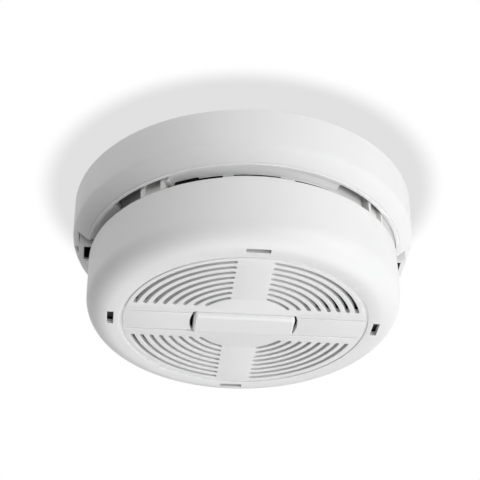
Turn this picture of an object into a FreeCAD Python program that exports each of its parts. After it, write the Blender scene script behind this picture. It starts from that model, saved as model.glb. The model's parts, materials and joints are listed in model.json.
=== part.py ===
import FreeCAD, Part
import math
import os

from FreeCAD import Vector

# Ceiling smoke alarm on a surface mounting base. Millimetres.
# The origin is the middle of the base's ceiling face and +Z points up into the ceiling, so the
# alarm hangs towards -Z. Angles round the axis run from -Y towards +X, in degrees.

# ---- surface base ----
BASE_R = 75.0            # outside radius of the skirt
BASE_H = 23.4            # depth of the lip below the ceiling
BASE_WALL = 2.6          # skirt wall
BASE_PLATE = 2.5         # ceiling plate
SHOULDER_W = 6.2         # how far the shoulder comes in at the lip
SHOULDER_H = 5.7         # height of the shoulder
SHOULDER_ROUND = 4.0     # rounding between wall and shoulder
LIP_WALL = 1.4           # lip thickness, measured radially
EDGE_ROUND = 0.6         # small moulded edges
NOTCH_HALF = 8.0         # half width of the notch over each side lug
CABLE_HOLE_R = 10.0      # cable entry in the ceiling plate
CABLE_HOLE_X = -15.0
FIXING_SLOT_L = 12.0     # ceiling screw slots, end to end
FIXING_SLOT_R = 2.25     # half the slot's width
FIXING_SPAN_X = 83.3     # slot to slot along X
FIXING_SPAN_Y = 60.3     # slot to slot along Y

# ---- mounting bracket ----
BRACKET_Z = -12.0        # top face of the bracket plate
BRACKET_T = 2.0
BRACKET_OPENING_R = 34.0
NECK_WALL = 2.2
NECK_CLEAR = 2.4         # neck to the head's top edge
NECK_GAP = 3.8           # lip bore to neck, the channel that the hooks run in
VENTS = ((0.8, -9.3, 6.7), (1.5, -31.5, -22.0))    # neck notches: height and angles
BOSS_PITCH_R = 52.0      # bracket screws
BOSS_R = 4.0
LUG_HALF = 6.0           # side lug, half its width
LUG_DROP = 1.8           # how far the lug shows below the lip
LUG_WALL = 2.0
LUG_SLOT_W = 3.8
LUG_SLOT_HALF = 4.9
LUG_GAP = 0.5            # lug to the skirt's inside wall

# ---- bayonet ----
HOOKS = 4
HOOK_AZ = -39.6          # first hook, locked
HOOK_HALF = 5.0          # half the hook's angle
HOOK_RIB = 1.4           # angle of each hook rib
HOOK_T = 1.1             # hook wall beside the ledge
HOOK_CAP = 1.5           # bar over the ledge
HOOK_TOP_GAP = 1.0       # hook to bracket plate
HOOK_FOOT_W = 1.6        # foot, inwards from the hook
HOOK_FOOT_H = 1.7
HOOK_STEP = 1.0          # low web, below the ledge's clearance
LEDGE_T = 2.2            # ledge height
LEDGE_W = 1.9            # ledge depth, out from the neck
LEDGE_CLEAR = 2.7        # angle between an unlocked hook and its ledge
STOP_ANGLE = 1.3
STOP_GAP = 0.35          # angle between a locked hook and its stop
TURN = 14.0              # unlocking turn
RUN_GAP = 0.4            # between the head and the base where they pass
SEAT_GAP = 0.3           # hook over ledge

# ---- head ----
HEAD_INSET = 7.5         # base skirt to head wall
HEAD_GAP = 4.8           # lip to the head's top edge
HEAD_H = 29.1            # top edge to the grille face
COVER_WALL = 2.2
EDGE_R = 10.0            # rounding of the lower edge
RIM_ROUND = 1.0          # rounding of the top edge
POST_R = 3.6             # cover screw posts
POST_INSET = 3.7         # post to the cover's inside wall
POST_AZ = (65.0, 115.0, 245.0, 295.0)
TONGUE_AZ = (-13.0, 8.7)
TONGUE_H = 0.9

# ---- face ----
DISC_R = 52.8            # fine groove round the grille
BAR_HALF = 8.1           # half width of the cross bar
BAR_JOG = 0.5            # the bar's ends stand this far past the groove
GROOVE_W = 0.7
GROOVE_D = 0.4
SLOT_R0 = 22.06          # innermost grille slot
SLOT_PITCH = 3.84
SLOT_COUNT = 8
SLOT_W = 1.7
ARM_HALF = 7.4           # plain cross arm
BAR_MARGIN = 5.0         # grille slots stop this far from the bar
WINDOW_R = 57.0          # four windows in the edge
WINDOW_L = 9.8
WINDOW_W = 2.6

# ---- test button ----
BUTTON_R = 22.2          # its curved ends
BUTTON_END_GAP = 0.9     # open slit at each end
BUTTON_SIDE_GAP = 0.3
BUTTON_RISE = 1.4        # above the face
BUTTON_SHOULDER = 1.7    # width of the sloped side
BUTTON_SIDE_RISE = 1.1   # steep part of the side
BUTTON_TRAVEL = 1.5
FLANGE_HALF_X = 12.0
FLANGE_LIP = 2.2         # flange past the button's sides
FLANGE_T = 1.2
STEM_R = 2.6
SPRING_R = 4.3           # mean radius
SPRING_WIRE_R = 0.35
WIRE_SIDES = 8           # flats round the wire
SPRING_TURNS = 7
TOUCH = 0.1              # rest gap between pieces that lie on each other
PAST = 1.0               # how far a cutting shape runs past the face that it cuts
JOIN = 0.2               # how deep two blocks of one piece run into each other

# ---- chassis, board and what is on them ----
CHASSIS_DROP = 0.5       # chassis below the cover's top edge
CHASSIS_T = 2.0
CHASSIS_FIT = 0.3
BOARD_STANDOFF = 1.8
BOARD_T = 1.6
BOARD_SCREW_BITE = 1.2   # board screws into the chassis plate
BOARD_R = 53.0
BOARD_POST_R = 3.2
BOARD_EDGE_GAP = 1.0     # board to the battery well
BOARD_SCREWS = ((48.0, 10.0), (-48.0, 10.0), (21.0, -44.0), (-21.0, -44.0))
SCREW_R = 1.35           # shank of the small screws
SCREW_FIT = 0.05
SCREW_PASS = 0.3         # shank to a hole that it passes freely
DRIVE_W = 0.6            # drive slots
DRIVE_D = 0.8
DRIVE_L = 1.3            # length, in head radii
BRACKET_SCREW_HEAD_R = 3.0
SCREW_HEAD_R = 2.6
SCREW_HEAD_H = 1.7
SCREW_L = 7.0
BATTERY_L = 46.4         # without its studs
BATTERY_W = 26.5
BATTERY_H = 17.5
BATTERY_Y = 40.25
BATTERY_FIT = 0.5
BATTERY_SINK = 2.0       # battery below the chassis' rear face
BATTERY_STUD_L = 2.1
BATTERY_STUD_PITCH = 12.7
BATTERY_STUD_R = (2.8, 3.9)    # snap stud and snap socket
BATTERY_ROUND = 2.0
WELL_WALL = 1.3
CONNECTOR_T = 1.2        # plug plate on the studs
CONNECTOR_HALF_Z = 6.0
CONNECTOR_PAST = 5.0     # connector past the studs' middles
CONNECTOR_ROUND = 3.0

CHAMBER_XY = (-31.0, -12.0)
CHAMBER_R = 17.5
CHAMBER_H = 13.0
CHAMBER_FLOOR = 2.4
COLLECTOR_LIFT = 4.0     # collector under the chamber floor
COLLECTOR_R = 9.0
COLLECTOR_T = 0.6
COLLECTOR_HOLE_R = 2.6
COLLECTOR_POST_R = 1.2
COLLECTOR_POST_PITCH = 7.0
SOURCE_R = 3.4           # ion source holder
SOURCE_H = 2.4
SOURCE_HOLE_R = 1.6
SOURCE_HOLE_D = 0.6
CAN_WALL = 0.8
CAN_FIT = 0.05           # can over its base
CAN_WINDOWS = 10
CAN_WINDOW_HALF = 9.0    # half angle of a window
CAN_WINDOW_EDGE = 2.5    # window to the can's face
CAN_HOLE_R = 1.5
CAN_HOLE_PITCH_R = 9.6
HORN_XY = (31.0, -12.0)
HORN_R = 18.0
HORN_BASE_H = 5.5
HORN_CAP_H = 6.0
HORN_WALL = 1.6
HORN_SEAT = 0.8          # width of the diaphragm's seat
HORN_PORT_R = 3.2
DIAPHRAGM_T = 0.5
CORE_L = 30.0
CORE_W = 12.0            # stack of laminations
CORE_H = 16.0
CORE_Y = -40.0
LIMB = 8.0
YOKE = 4.0
WINDING_PAST = 5.0       # winding past the core's faces
WINDING_FIT = 0.2
CAPACITOR_XY = (-33.0, 16.0)
CAPACITOR = (18.0, 7.0, 11.0)
CAPACITOR_ROUND = 0.8
RESERVOIR_XY = ((29.5, 16.0), (41.0, 16.0))
RESERVOIR_R = 5.0
RESERVOIR_H = 12.0
RESERVOIR_CRIMP = (1.6, 2.4, 0.5)    # crimp groove: start, end, depth
VARISTOR_XY = (-19.0, 17.0)
VARISTOR_R = 4.0
VARISTOR_T = 3.0
VARISTOR_LIFT = 1.0
LEG = 0.8                # square legs and clip walls
CHIP_XY = (0.0, 17.0)
CHIP_L = 19.2
CHIP_W = 6.4
CHIP_H = 3.2
CHIP_PINS = 8
CHIP_LIFT = 0.6
LED_XY = ((14.5, 17.0), (20.5, 17.0))
LED_R = 1.5
LED_FLANGE_R = 1.9
LED_FLANGE_T = 1.0
LED_L = 6.0
LED_CLEAR = 2.0          # lens to the cover's inside face
FUSE_Y = -24.0
FUSE_R = 2.6
FUSE_L = 20.0
FUSE_CAP_L = 5.0
FUSE_LIFT = 1.5
FUSE_FIT = 0.05          # clip round the fuse
SWITCH_HALF = 6.0
SWITCH_H = 4.3
PLUNGER_R = 1.75
PLUNGER_OUT = 2.6
PLUNGER_IN = 2.0

# ---- supply contacts ----
TERMINAL_X = (4.0, 30.0)
TERMINAL_HALF_Y = 13.0
TERMINAL_H = 11.0
TERMINAL_PITCH = 6.5
TERMINAL_SCREW_X = 27.2
TERMINAL_SCREW_R = 1.8
TERMINAL_SCREW_L = 6.0
TERMINAL_BORE_L = 8.0
WIRE_HOLE_R = 1.6
CONTACT_R = (8.0, 13.0, 18.0, 22.5)
CONTACT_W = 3.0
CONTACT_T = 0.6
CONTACT_HALF = 10.0      # half the angle of each contact plate
BLADE_T = 0.8
BLADE_W = 3.0
BLADE_TIP_L = 2.4        # bent tip under the contact plate
BLADE_PASS = 0.3         # blade to its hole in the chassis
CARRIER_PAD = 3.0
CARRIER_H = 8.0
CLAMP_X = -30.0
CLAMP_W = 6.0
CLAMP_L = 24.0
CLAMP_T = 3.0
CLAMP_LIFT = 2.5
CABLE_R = 4.0            # cable that the clamp holds
CLAMP_GROOVE_D = 1.6

# ---- worked out from the values above ----
LIP_Z = -BASE_H
LEDGE_HALF = TURN - HOOK_HALF - LEDGE_CLEAR
SCREW_HOLE_R = SCREW_R + SCREW_FIT
SCREW_PASS_R = SCREW_R + SCREW_PASS
LIP_R = BASE_R - SHOULDER_W
LIP_BORE_R = LIP_R - LIP_WALL
SKIRT_BORE_R = BASE_R - BASE_WALL
NECK_R = LIP_BORE_R - NECK_GAP
HEAD_R = BASE_R - HEAD_INSET
HEAD_BORE_R = HEAD_R - COVER_WALL
HEAD_TOP = LIP_Z - HEAD_GAP
NECK_Z = HEAD_TOP + NECK_CLEAR
FACE_Z = HEAD_TOP - HEAD_H
FACE_IN = FACE_Z + COVER_WALL
CHASSIS_R = HEAD_BORE_R - CHASSIS_FIT
CHASSIS_TOP = HEAD_TOP - CHASSIS_DROP
CHASSIS_BOTTOM = CHASSIS_TOP - CHASSIS_T
BOARD_TOP = CHASSIS_BOTTOM - BOARD_STANDOFF
BOARD = BOARD_TOP - BOARD_T
COLLECTOR_TOP = BOARD - CHAMBER_FLOOR - COLLECTOR_LIFT
POST_PITCH_R = HEAD_BORE_R - POST_R - POST_INSET
WELL_X = BATTERY_L / 2 + BATTERY_FIT + (BATTERY_STUD_L + CONNECTOR_T) / 2
WELL_Y = BATTERY_W / 2 + BATTERY_FIT
BATTERY_Z = CHASSIS_TOP - BATTERY_SINK - BATTERY_H
WELL_FLOOR = BATTERY_Z - TOUCH
BOARD_EDGE_Y = BATTERY_Y - WELL_Y - WELL_WALL - BOARD_EDGE_GAP
FLANGE_BOTTOM = FACE_IN + TOUCH
FLANGE_TOP = FLANGE_BOTTOM + FLANGE_T
SWITCH_BOTTOM = BOARD - SWITCH_H
PLUNGER_END = SWITCH_BOTTOM - PLUNGER_OUT
STEM_TOP = PLUNGER_END - BUTTON_TRAVEL - TOUCH
HOOK_R = LIP_BORE_R - RUN_GAP
HOOK_IN_R = NECK_R + RUN_GAP
HOOK_TOP = BRACKET_Z - BRACKET_T - HOOK_TOP_GAP
LEDGE_TOP = HOOK_TOP - HOOK_CAP - SEAT_GAP
LEDGE_BOTTOM = LEDGE_TOP - LEDGE_T
LUG_X = SKIRT_BORE_R - LUG_GAP
CONTACT_Z = -BASE_PLATE - TERMINAL_H - CONTACT_T
BLADE_TIP = CONTACT_Z - SEAT_GAP


# ---- shape helpers ----
def at(radius, az, z=0.0):
    """Point at a radius, an angle round the axis and a height."""
    angle = math.radians(az)
    return Vector(radius * math.sin(angle), -radius * math.cos(angle), z)


def box(x0, x1, y0, y1, z0, z1):
    """Box between two corners."""
    return Part.makeBox(x1 - x0, y1 - y0, z1 - z0, Vector(x0, y0, z0))


def block(xy, size, z0):
    """Box of a size, centred on xy, standing down from z0."""
    x, y = xy
    sx, sy, sz = size
    return box(x - sx / 2, x + sx / 2, y - sy / 2, y + sy / 2, z0 - sz, z0)


def rod(radius, z0, z1, xy=(0.0, 0.0)):
    """Upright cylinder from z0 to z1."""
    return Part.makeCylinder(radius, z1 - z0, Vector(xy[0], xy[1], z0))


def tube(outer, inner, z0, z1, xy=(0.0, 0.0)):
    """Upright tube from z0 to z1."""
    return rod(outer, z0, z1, xy).cut(rod(inner, z0 - PAST, z1 + PAST, xy))


def wire_of(points):
    """Closed outline through (x, z, corner radius) points, in the XZ plane."""
    count = len(points)
    corners = []
    for i, (x, z, radius) in enumerate(points):
        here = Vector(x, 0, z)
        back = Vector(points[i - 1][0], 0, points[i - 1][1]) - here
        ahead = Vector(points[(i + 1) % count][0], 0, points[(i + 1) % count][1]) - here
        if radius == 0:
            corners.append((here, None, here))
            continue
        back.normalize()
        ahead.normalize()
        half = math.acos(back.dot(ahead)) / 2
        bisector = (back + ahead).normalize()
        middle = here + bisector * (radius / math.sin(half) - radius)
        run = radius / math.tan(half)
        corners.append((here + back * run, middle, here + ahead * run))
    edges = []
    for i, (start, middle, end) in enumerate(corners):
        if middle is not None:
            edges.append(Part.Arc(start, middle, end).toShape())
        following = corners[(i + 1) % count][0]
        if (following - end).Length > 1e-6:
            edges.append(Part.makeLine(end, following))
    return Part.Wire(edges)


def turned(points):
    """Solid of revolution of an outline about the Z axis."""
    return Part.Face(wire_of(points)).revolve(Vector(0, 0, 0), Vector(0, 0, 1), 360)


def sector(inner, outer, z0, z1, az0, az1):
    """Block between two radii, two heights and two angles."""
    middle = (az0 + az1) / 2
    edges = [
        Part.Arc(at(outer, az0, z0), at(outer, middle, z0), at(outer, az1, z0)).toShape(),
        Part.makeLine(at(outer, az1, z0), at(inner, az1, z0)),
        Part.Arc(at(inner, az1, z0), at(inner, middle, z0), at(inner, az0, z0)).toShape(),
        Part.makeLine(at(inner, az0, z0), at(outer, az0, z0)),
    ]
    return Part.Face(Part.Wire(edges)).extrude(Vector(0, 0, z1 - z0))


def arc_slot(radius, width, z0, z1, az0, az1):
    """Curved slot with round ends, whose end centres lie at az0 and az1."""
    half = width / 2
    middle = (az0 + az1) / 2
    outer, inner = radius + half, radius - half

    def beyond(az, sign):
        angle = math.radians(az)
        return at(radius, az, z0) + Vector(math.cos(angle), math.sin(angle), 0) * (sign * half)

    edges = [
        Part.Arc(at(outer, az0, z0), at(outer, middle, z0), at(outer, az1, z0)).toShape(),
        Part.Arc(at(outer, az1, z0), beyond(az1, 1), at(inner, az1, z0)).toShape(),
        Part.Arc(at(inner, az1, z0), at(inner, middle, z0), at(inner, az0, z0)).toShape(),
        Part.Arc(at(inner, az0, z0), beyond(az0, -1), at(outer, az0, z0)).toShape(),
    ]
    return Part.Face(Part.Wire(edges)).extrude(Vector(0, 0, z1 - z0))


def straight_slot(length, half_width, along_x, centre, z0, z1):
    """Straight slot with round ends."""
    reach = length / 2 - half_width
    dx, dy = (reach, 0.0) if along_x else (0.0, reach)
    x, y = centre
    ends = [rod(half_width, z0, z1, (x - dx, y - dy)), rod(half_width, z0, z1, (x + dx, y + dy))]
    wx, wy = (reach, half_width) if along_x else (half_width, reach)
    return box(x - wx, x + wx, y - wy, y + wy, z0, z1).multiFuse(ends)


def turn(shape, az):
    """Copy of a shape turned about Z, the same way as the angles run."""
    copy = shape.copy()
    copy.rotate(Vector(0, 0, 0), Vector(0, 0, 1), az)
    return copy


def ring_of(shape, count, first=0.0):
    """List of copies of a shape, evenly turned about Z."""
    return [turn(shape, first + i * 360.0 / count) for i in range(count)]


def fused(shapes):
    """One solid from overlapping shapes."""
    return shapes[0].multiFuse(shapes[1:]).removeSplitter()


def hung_screw(xy, seat_z, head_r=SCREW_HEAD_R, length=SCREW_L):
    """Screw driven upwards, its head under seat_z, with a cross slot in the head."""
    low = seat_z - SCREW_HEAD_H
    head = rod(head_r, low, seat_z, xy)
    shank = rod(SCREW_R, seat_z - JOIN, seat_z + length, xy)
    slot = block(xy, (head_r * DRIVE_L, DRIVE_W, DRIVE_D), low + DRIVE_D)
    cross = block(xy, (DRIVE_W, head_r * DRIVE_L, DRIVE_D), low + DRIVE_D)
    return head.fuse(shank).cut(slot).cut(cross).removeSplitter()


def dropped_screw(xy, seat_z):
    """Screw driven downwards, its head on top of seat_z."""
    screw = hung_screw((0.0, 0.0), 0.0)
    screw.rotate(Vector(0, 0, 0), Vector(1, 0, 0), 180)
    screw.translate(Vector(xy[0], xy[1], seat_z))
    return screw


# ---- base ----
def boss_points():
    """Places of the four bracket screws."""
    return [at(BOSS_PITCH_R, 45 + 90 * i) for i in range(4)]


def clamp_points():
    """Places of the two clamp screws."""
    reach = CLAMP_L / 2 - BOARD_POST_R
    return [(CLAMP_X, -reach), (CLAMP_X, reach)]


def surface_base():
    """Skirt, shoulder, lip and ceiling plate, with notches, slots, cable hole and bosses."""
    shoulder_z = LIP_Z + SHOULDER_H
    body = turned([
        (0, 0, 0),
        (BASE_R, 0, EDGE_ROUND),
        (BASE_R, shoulder_z, SHOULDER_ROUND),
        (LIP_R, LIP_Z, EDGE_ROUND),
        (LIP_BORE_R, LIP_Z, EDGE_ROUND),
        (LIP_BORE_R, LIP_Z + LIP_WALL, EDGE_ROUND),
        (SKIRT_BORE_R, shoulder_z + BASE_WALL / 2, SHOULDER_ROUND / 2),
        (SKIRT_BORE_R, -BASE_PLATE, 0),
        (0, -BASE_PLATE, 0),
    ])
    notch = box(NECK_R, BASE_R + PAST, -NOTCH_HALF, NOTCH_HALF, LIP_Z - PAST, shoulder_z + EDGE_ROUND)
    pocket = box(NECK_R, BASE_R, -NOTCH_HALF, NOTCH_HALF, LIP_Z - PAST, shoulder_z + SHOULDER_ROUND)
    pocket = pocket.common(rod(SKIRT_BORE_R, LIP_Z - PAST, 0))
    cuts = ring_of(notch.fuse(pocket), 2) + [rod(CABLE_HOLE_R, -BASE_PLATE - PAST, 1, (CABLE_HOLE_X, 0))]
    for side in (-1, 1):
        x_slot = (side * FIXING_SPAN_X / 2, 0.0)
        y_slot = (0.0, side * FIXING_SPAN_Y / 2)
        cuts.append(straight_slot(FIXING_SLOT_L, FIXING_SLOT_R, True, x_slot, -BASE_PLATE - PAST, 1))
        cuts.append(straight_slot(FIXING_SLOT_L, FIXING_SLOT_R, False, y_slot, -BASE_PLATE - PAST, 1))
    seat = -BASE_PLATE + JOIN
    clamp_z = -BASE_PLATE - CLAMP_LIFT
    bosses = [rod(BOSS_R, BRACKET_Z, seat, (p.x, p.y)) for p in boss_points()]
    bosses += [rod(BOARD_POST_R, clamp_z, seat, p) for p in clamp_points()]
    pilots = [rod(SCREW_HOLE_R, BRACKET_Z - PAST, -BASE_PLATE, (p.x, p.y)) for p in boss_points()]
    pilots += [rod(SCREW_HOLE_R, clamp_z - PAST, -PAST, p) for p in clamp_points()]
    return fused([body] + bosses).cut(Part.Compound(cuts + pilots))


def side_lug():
    """Slotted lug that shows in the notch, on +X."""
    bottom = LIP_Z - LUG_DROP
    body = box(NECK_R - NECK_WALL / 2, LUG_X, -LUG_HALF, LUG_HALF, bottom, BRACKET_Z)
    slot_x = LUG_X - LUG_WALL
    slot = box(slot_x - LUG_SLOT_W, slot_x, -LUG_SLOT_HALF, LUG_SLOT_HALF, bottom - PAST,
               BRACKET_Z - BRACKET_T)
    return body.cut(slot)


def mounting_bracket():
    """Bayonet bracket: plate, neck, ledges, stops and side lugs."""
    plate = tube(NECK_R, BRACKET_OPENING_R, BRACKET_Z - BRACKET_T, BRACKET_Z)
    neck = tube(NECK_R, NECK_R - NECK_WALL, NECK_Z, BRACKET_Z)
    ledge = sector(NECK_R - JOIN, NECK_R + LEDGE_W, LEDGE_BOTTOM, LEDGE_TOP, -LEDGE_HALF, LEDGE_HALF)
    stop_az = HOOK_HALF + STOP_GAP
    stop = sector(NECK_R - JOIN, HOOK_R - RUN_GAP, NECK_Z + PAST, BRACKET_Z, stop_az, stop_az + STOP_ANGLE)
    shapes = [plate, neck] + ring_of(ledge, HOOKS, HOOK_AZ) + ring_of(stop, 2, HOOK_AZ)
    shapes += ring_of(side_lug(), 2)
    low, high = [sector(NECK_R - 2 * NECK_WALL, NECK_R + PAST, NECK_Z - PAST, NECK_Z + height, az0, az1)
                 for height, az0, az1 in VENTS]
    under = BRACKET_Z - BRACKET_T - PAST
    holes = [rod(SCREW_PASS_R, under, BRACKET_Z + PAST, (p.x, p.y)) for p in boss_points()]
    return fused(shapes).cut(Part.Compound(ring_of(low, 2) + ring_of(high, 2) + holes))


def bracket_screws():
    """Four screws up through the bracket into the base's bosses."""
    seat = BRACKET_Z - BRACKET_T
    return [hung_screw((p.x, p.y), seat, BRACKET_SCREW_HEAD_R) for p in boss_points()]


def terminal_rows():
    """Heights across the terminal block of its four poles."""
    return [TERMINAL_PITCH * (i - 1.5) for i in range(4)]


def terminal_block():
    """Four-pole block under the ceiling plate, with wire and screw holes."""
    x0, x1 = TERMINAL_X
    top = -BASE_PLATE
    body = box(x0, x1, -TERMINAL_HALF_Y, TERMINAL_HALF_Y, top - TERMINAL_H, top)
    cuts = []
    for y in terminal_rows():
        mouth = Vector(x0 - PAST, y, top - TERMINAL_H / 2)
        cuts.append(Part.makeCylinder(WIRE_HOLE_R, (x1 - x0) / 2, mouth, Vector(1, 0, 0)))
        low = top - TERMINAL_H
        cuts.append(rod(TERMINAL_SCREW_R, low - PAST, low + TERMINAL_BORE_L, (TERMINAL_SCREW_X, y)))
    return body.cut(Part.Compound(cuts))


def terminal_screws():
    """Four slotted screws, flush with the block."""
    bottom = -BASE_PLATE - TERMINAL_H
    screws = []
    for y in terminal_rows():
        xy = (TERMINAL_SCREW_X, y)
        slot = block(xy, (2 * TERMINAL_SCREW_R + PAST, DRIVE_W, DRIVE_D), bottom + DRIVE_D)
        screws.append(rod(TERMINAL_SCREW_R - SCREW_FIT, bottom, bottom + TERMINAL_SCREW_L, xy).cut(slot))
    return screws


def supply_contacts():
    """Four curved contact plates on the block's underside."""
    half = CONTACT_W / 2
    top = CONTACT_Z + CONTACT_T
    return [sector(r - half, r + half, CONTACT_Z, top, 90 - CONTACT_HALF, 90 + CONTACT_HALF)
            for r in CONTACT_R]


def cable_clamp():
    """Clamp bar with a rounded cable groove on its upper side."""
    top = -BASE_PLATE - CLAMP_LIFT
    bar = block((CLAMP_X, 0), (CLAMP_W, CLAMP_L, CLAMP_T), top)
    start = Vector(CLAMP_X - CLAMP_W, 0, top + CABLE_R - CLAMP_GROOVE_D)
    groove = Part.makeCylinder(CABLE_R, 2 * CLAMP_W, start, Vector(1, 0, 0))
    holes = [rod(SCREW_HOLE_R, top - CLAMP_T - PAST, top + PAST, p) for p in clamp_points()]
    return bar.cut(Part.Compound([groove] + holes))


def clamp_screws():
    """Two screws through the clamp bar."""
    seat = -BASE_PLATE - CLAMP_LIFT - CLAMP_T
    return [hung_screw(p, seat, SCREW_HEAD_R, CLAMP_T + CLAMP_LIFT) for p in clamp_points()]


# ---- head ----
def post_points():
    """Places of the four cover screws."""
    spots = [at(POST_PITCH_R, az) for az in POST_AZ]
    return [(p.x, p.y) for p in spots]


def grille_slots():
    """All the slots of the four grille quarters."""
    slots = []
    half = SLOT_W / 2
    for i in range(SLOT_COUNT):
        radius = SLOT_R0 + i * SLOT_PITCH
        first = math.degrees(math.asin((ARM_HALF + half) / radius))
        last = math.degrees(math.acos((BAR_HALF + BAR_MARGIN + half) / radius))
        for az0, az1 in ((first, last), (180 - last, 180 - first)):
            slot = arc_slot(radius, SLOT_W, FACE_Z - PAST, FACE_IN + PAST, az0, az1)
            slots += ring_of(slot, 2)
    return slots


def face_grooves():
    """Fine grooves: the circle, the bar's two long sides and its two ends."""
    top = FACE_Z + GROOVE_D
    wide = box(-HEAD_R, HEAD_R, -BAR_HALF, BAR_HALF, FACE_Z - PAST, top + PAST)
    circle = tube(DISC_R + GROOVE_W, DISC_R, FACE_Z - PAST, top).cut(wide)
    end_r = DISC_R + BAR_JOG
    ends = tube(end_r + GROOVE_W, end_r, FACE_Z - PAST, top).common(wide)
    long_side = box(BUTTON_R + BUTTON_END_GAP, end_r, BAR_HALF - GROOVE_W, BAR_HALF, FACE_Z - PAST, top)
    mirror = box(BUTTON_R + BUTTON_END_GAP, end_r, -BAR_HALF, GROOVE_W - BAR_HALF, FACE_Z - PAST, top)
    return [circle, ends] + ring_of(long_side, 2) + ring_of(mirror, 2)


def front_cover():
    """Round cover with grille, bar grooves, windows, button opening and screw posts."""
    shell = turned([
        (0, FACE_Z, 0),
        (HEAD_R, FACE_Z, EDGE_R),
        (HEAD_R, HEAD_TOP, RIM_ROUND),
        (HEAD_BORE_R, HEAD_TOP, EDGE_ROUND / 2),
        (HEAD_BORE_R, FACE_IN, EDGE_R - COVER_WALL),
        (0, FACE_IN, 0),
    ])
    posts = [rod(POST_R, FACE_IN - JOIN, CHASSIS_BOTTOM, xy) for xy in post_points()]
    tongue = sector(HEAD_BORE_R, HEAD_R - RIM_ROUND, HEAD_TOP - PAST, HEAD_TOP + TONGUE_H, *TONGUE_AZ)
    body = fused([shell] + posts + ring_of(tongue, 2))
    hole_half = BAR_HALF + BUTTON_SIDE_GAP
    hole = rod(BUTTON_R + BUTTON_END_GAP, FACE_Z - PAST, FACE_IN + PAST)
    hole = hole.common(box(-HEAD_R, HEAD_R, -hole_half, hole_half, FACE_Z - PAST, FACE_IN + PAST))
    window = box(WINDOW_R - WINDOW_W / 2, WINDOW_R + WINDOW_W / 2, -WINDOW_L / 2, WINDOW_L / 2,
                 FACE_Z - PAST, FACE_IN + PAST)
    pilots = [rod(SCREW_HOLE_R, CHASSIS_BOTTOM - SCREW_L, CHASSIS_BOTTOM + PAST, xy)
              for xy in post_points()]
    cuts = grille_slots() + face_grooves() + [hole] + ring_of(window, 4) + pilots
    return body.cut(Part.Compound(cuts))


def bayonet_hook():
    """Hook at angle 0: two ribs, a low web and a bar that passes over the ledge."""
    foot = sector(HOOK_IN_R - HOOK_FOOT_W, CHASSIS_R, CHASSIS_TOP - JOIN, CHASSIS_TOP + HOOK_FOOT_H,
                  -HOOK_HALF, HOOK_HALF)
    rib_low = HEAD_TOP + TOUCH
    ledge_clear = LEDGE_BOTTOM - SEAT_GAP
    web = sector(HOOK_IN_R, HOOK_IN_R + HOOK_T, rib_low, ledge_clear - HOOK_STEP, -HOOK_HALF, HOOK_HALF)
    shapes = [foot, web]
    for az in (-HOOK_HALF, HOOK_HALF - HOOK_RIB):
        shapes.append(sector(HOOK_IN_R, HOOK_R, rib_low, ledge_clear, az, az + HOOK_RIB))
        shapes.append(sector(HOOK_R - HOOK_T, HOOK_R, ledge_clear - HOOK_STEP, HOOK_TOP, az, az + HOOK_RIB))
    shapes.append(sector(HOOK_IN_R, HOOK_R, HOOK_TOP - HOOK_CAP, HOOK_TOP, -HOOK_HALF, HOOK_HALF))
    return fused(shapes)


def blade_slots(margin, z0, z1):
    """Blocks where the four blades pass, larger than them by a margin."""
    size = (BLADE_T + 2 * margin, BLADE_W + 2 * margin, z1 - z0)
    return [block((r, 0.0), size, z1) for r in CONTACT_R]


def rear_chassis():
    """Rear plate with the battery well, board posts and the four bayonet hooks."""
    plate = rod(CHASSIS_R, CHASSIS_BOTTOM, CHASSIS_TOP)
    ox, oy = WELL_X + WELL_WALL, WELL_Y + WELL_WALL
    well = box(-ox, ox, BATTERY_Y - oy, BATTERY_Y + oy, WELL_FLOOR - WELL_WALL, CHASSIS_TOP)
    hollow = box(-WELL_X, WELL_X, BATTERY_Y - WELL_Y, BATTERY_Y + WELL_Y, WELL_FLOOR, CHASSIS_TOP + PAST)
    posts = [rod(BOARD_POST_R, BOARD_TOP, CHASSIS_BOTTOM + JOIN, p) for p in BOARD_SCREWS]
    body = fused([plate, well] + posts + ring_of(bayonet_hook(), HOOKS, HOOK_AZ))
    cuts = [hollow] + blade_slots(BLADE_PASS, CHASSIS_BOTTOM - PAST, CHASSIS_TOP + PAST)
    bite = CHASSIS_BOTTOM + BOARD_SCREW_BITE
    cuts += [rod(SCREW_HOLE_R, BOARD_TOP - PAST, bite, p) for p in BOARD_SCREWS]
    cuts += [rod(SCREW_HOLE_R, CHASSIS_BOTTOM - PAST, CHASSIS_TOP + PAST, xy) for xy in post_points()]
    return body.cut(Part.Compound(cuts))


def chassis_screws():
    """Four screws down through the chassis into the cover's posts."""
    return [dropped_screw(xy, CHASSIS_TOP) for xy in post_points()]


def contact_carrier():
    """Insulating block on the chassis that holds the blades upright."""
    x0 = CONTACT_R[0] - CARRIER_PAD
    x1 = CONTACT_R[-1] + CARRIER_PAD
    half = BLADE_W / 2 + CARRIER_PAD
    body = box(x0, x1, -half, half, CHASSIS_TOP, CHASSIS_TOP + CARRIER_H)
    return body.cut(Part.Compound(blade_slots(0.0, CHASSIS_TOP - PAST, CHASSIS_TOP + CARRIER_H + PAST)))


def supply_blades():
    """Four upright blades from the board to just under the contact plates."""
    size = (BLADE_T, BLADE_W, BLADE_TIP - BOARD_TOP)
    tip = (BLADE_TIP_L, BLADE_W, BLADE_T)
    shift = (BLADE_TIP_L - BLADE_T) / 2
    return [fused([block((r, 0.0), size, BLADE_TIP), block((r + shift, 0.0), tip, BLADE_TIP)])
            for r in CONTACT_R]


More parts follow.
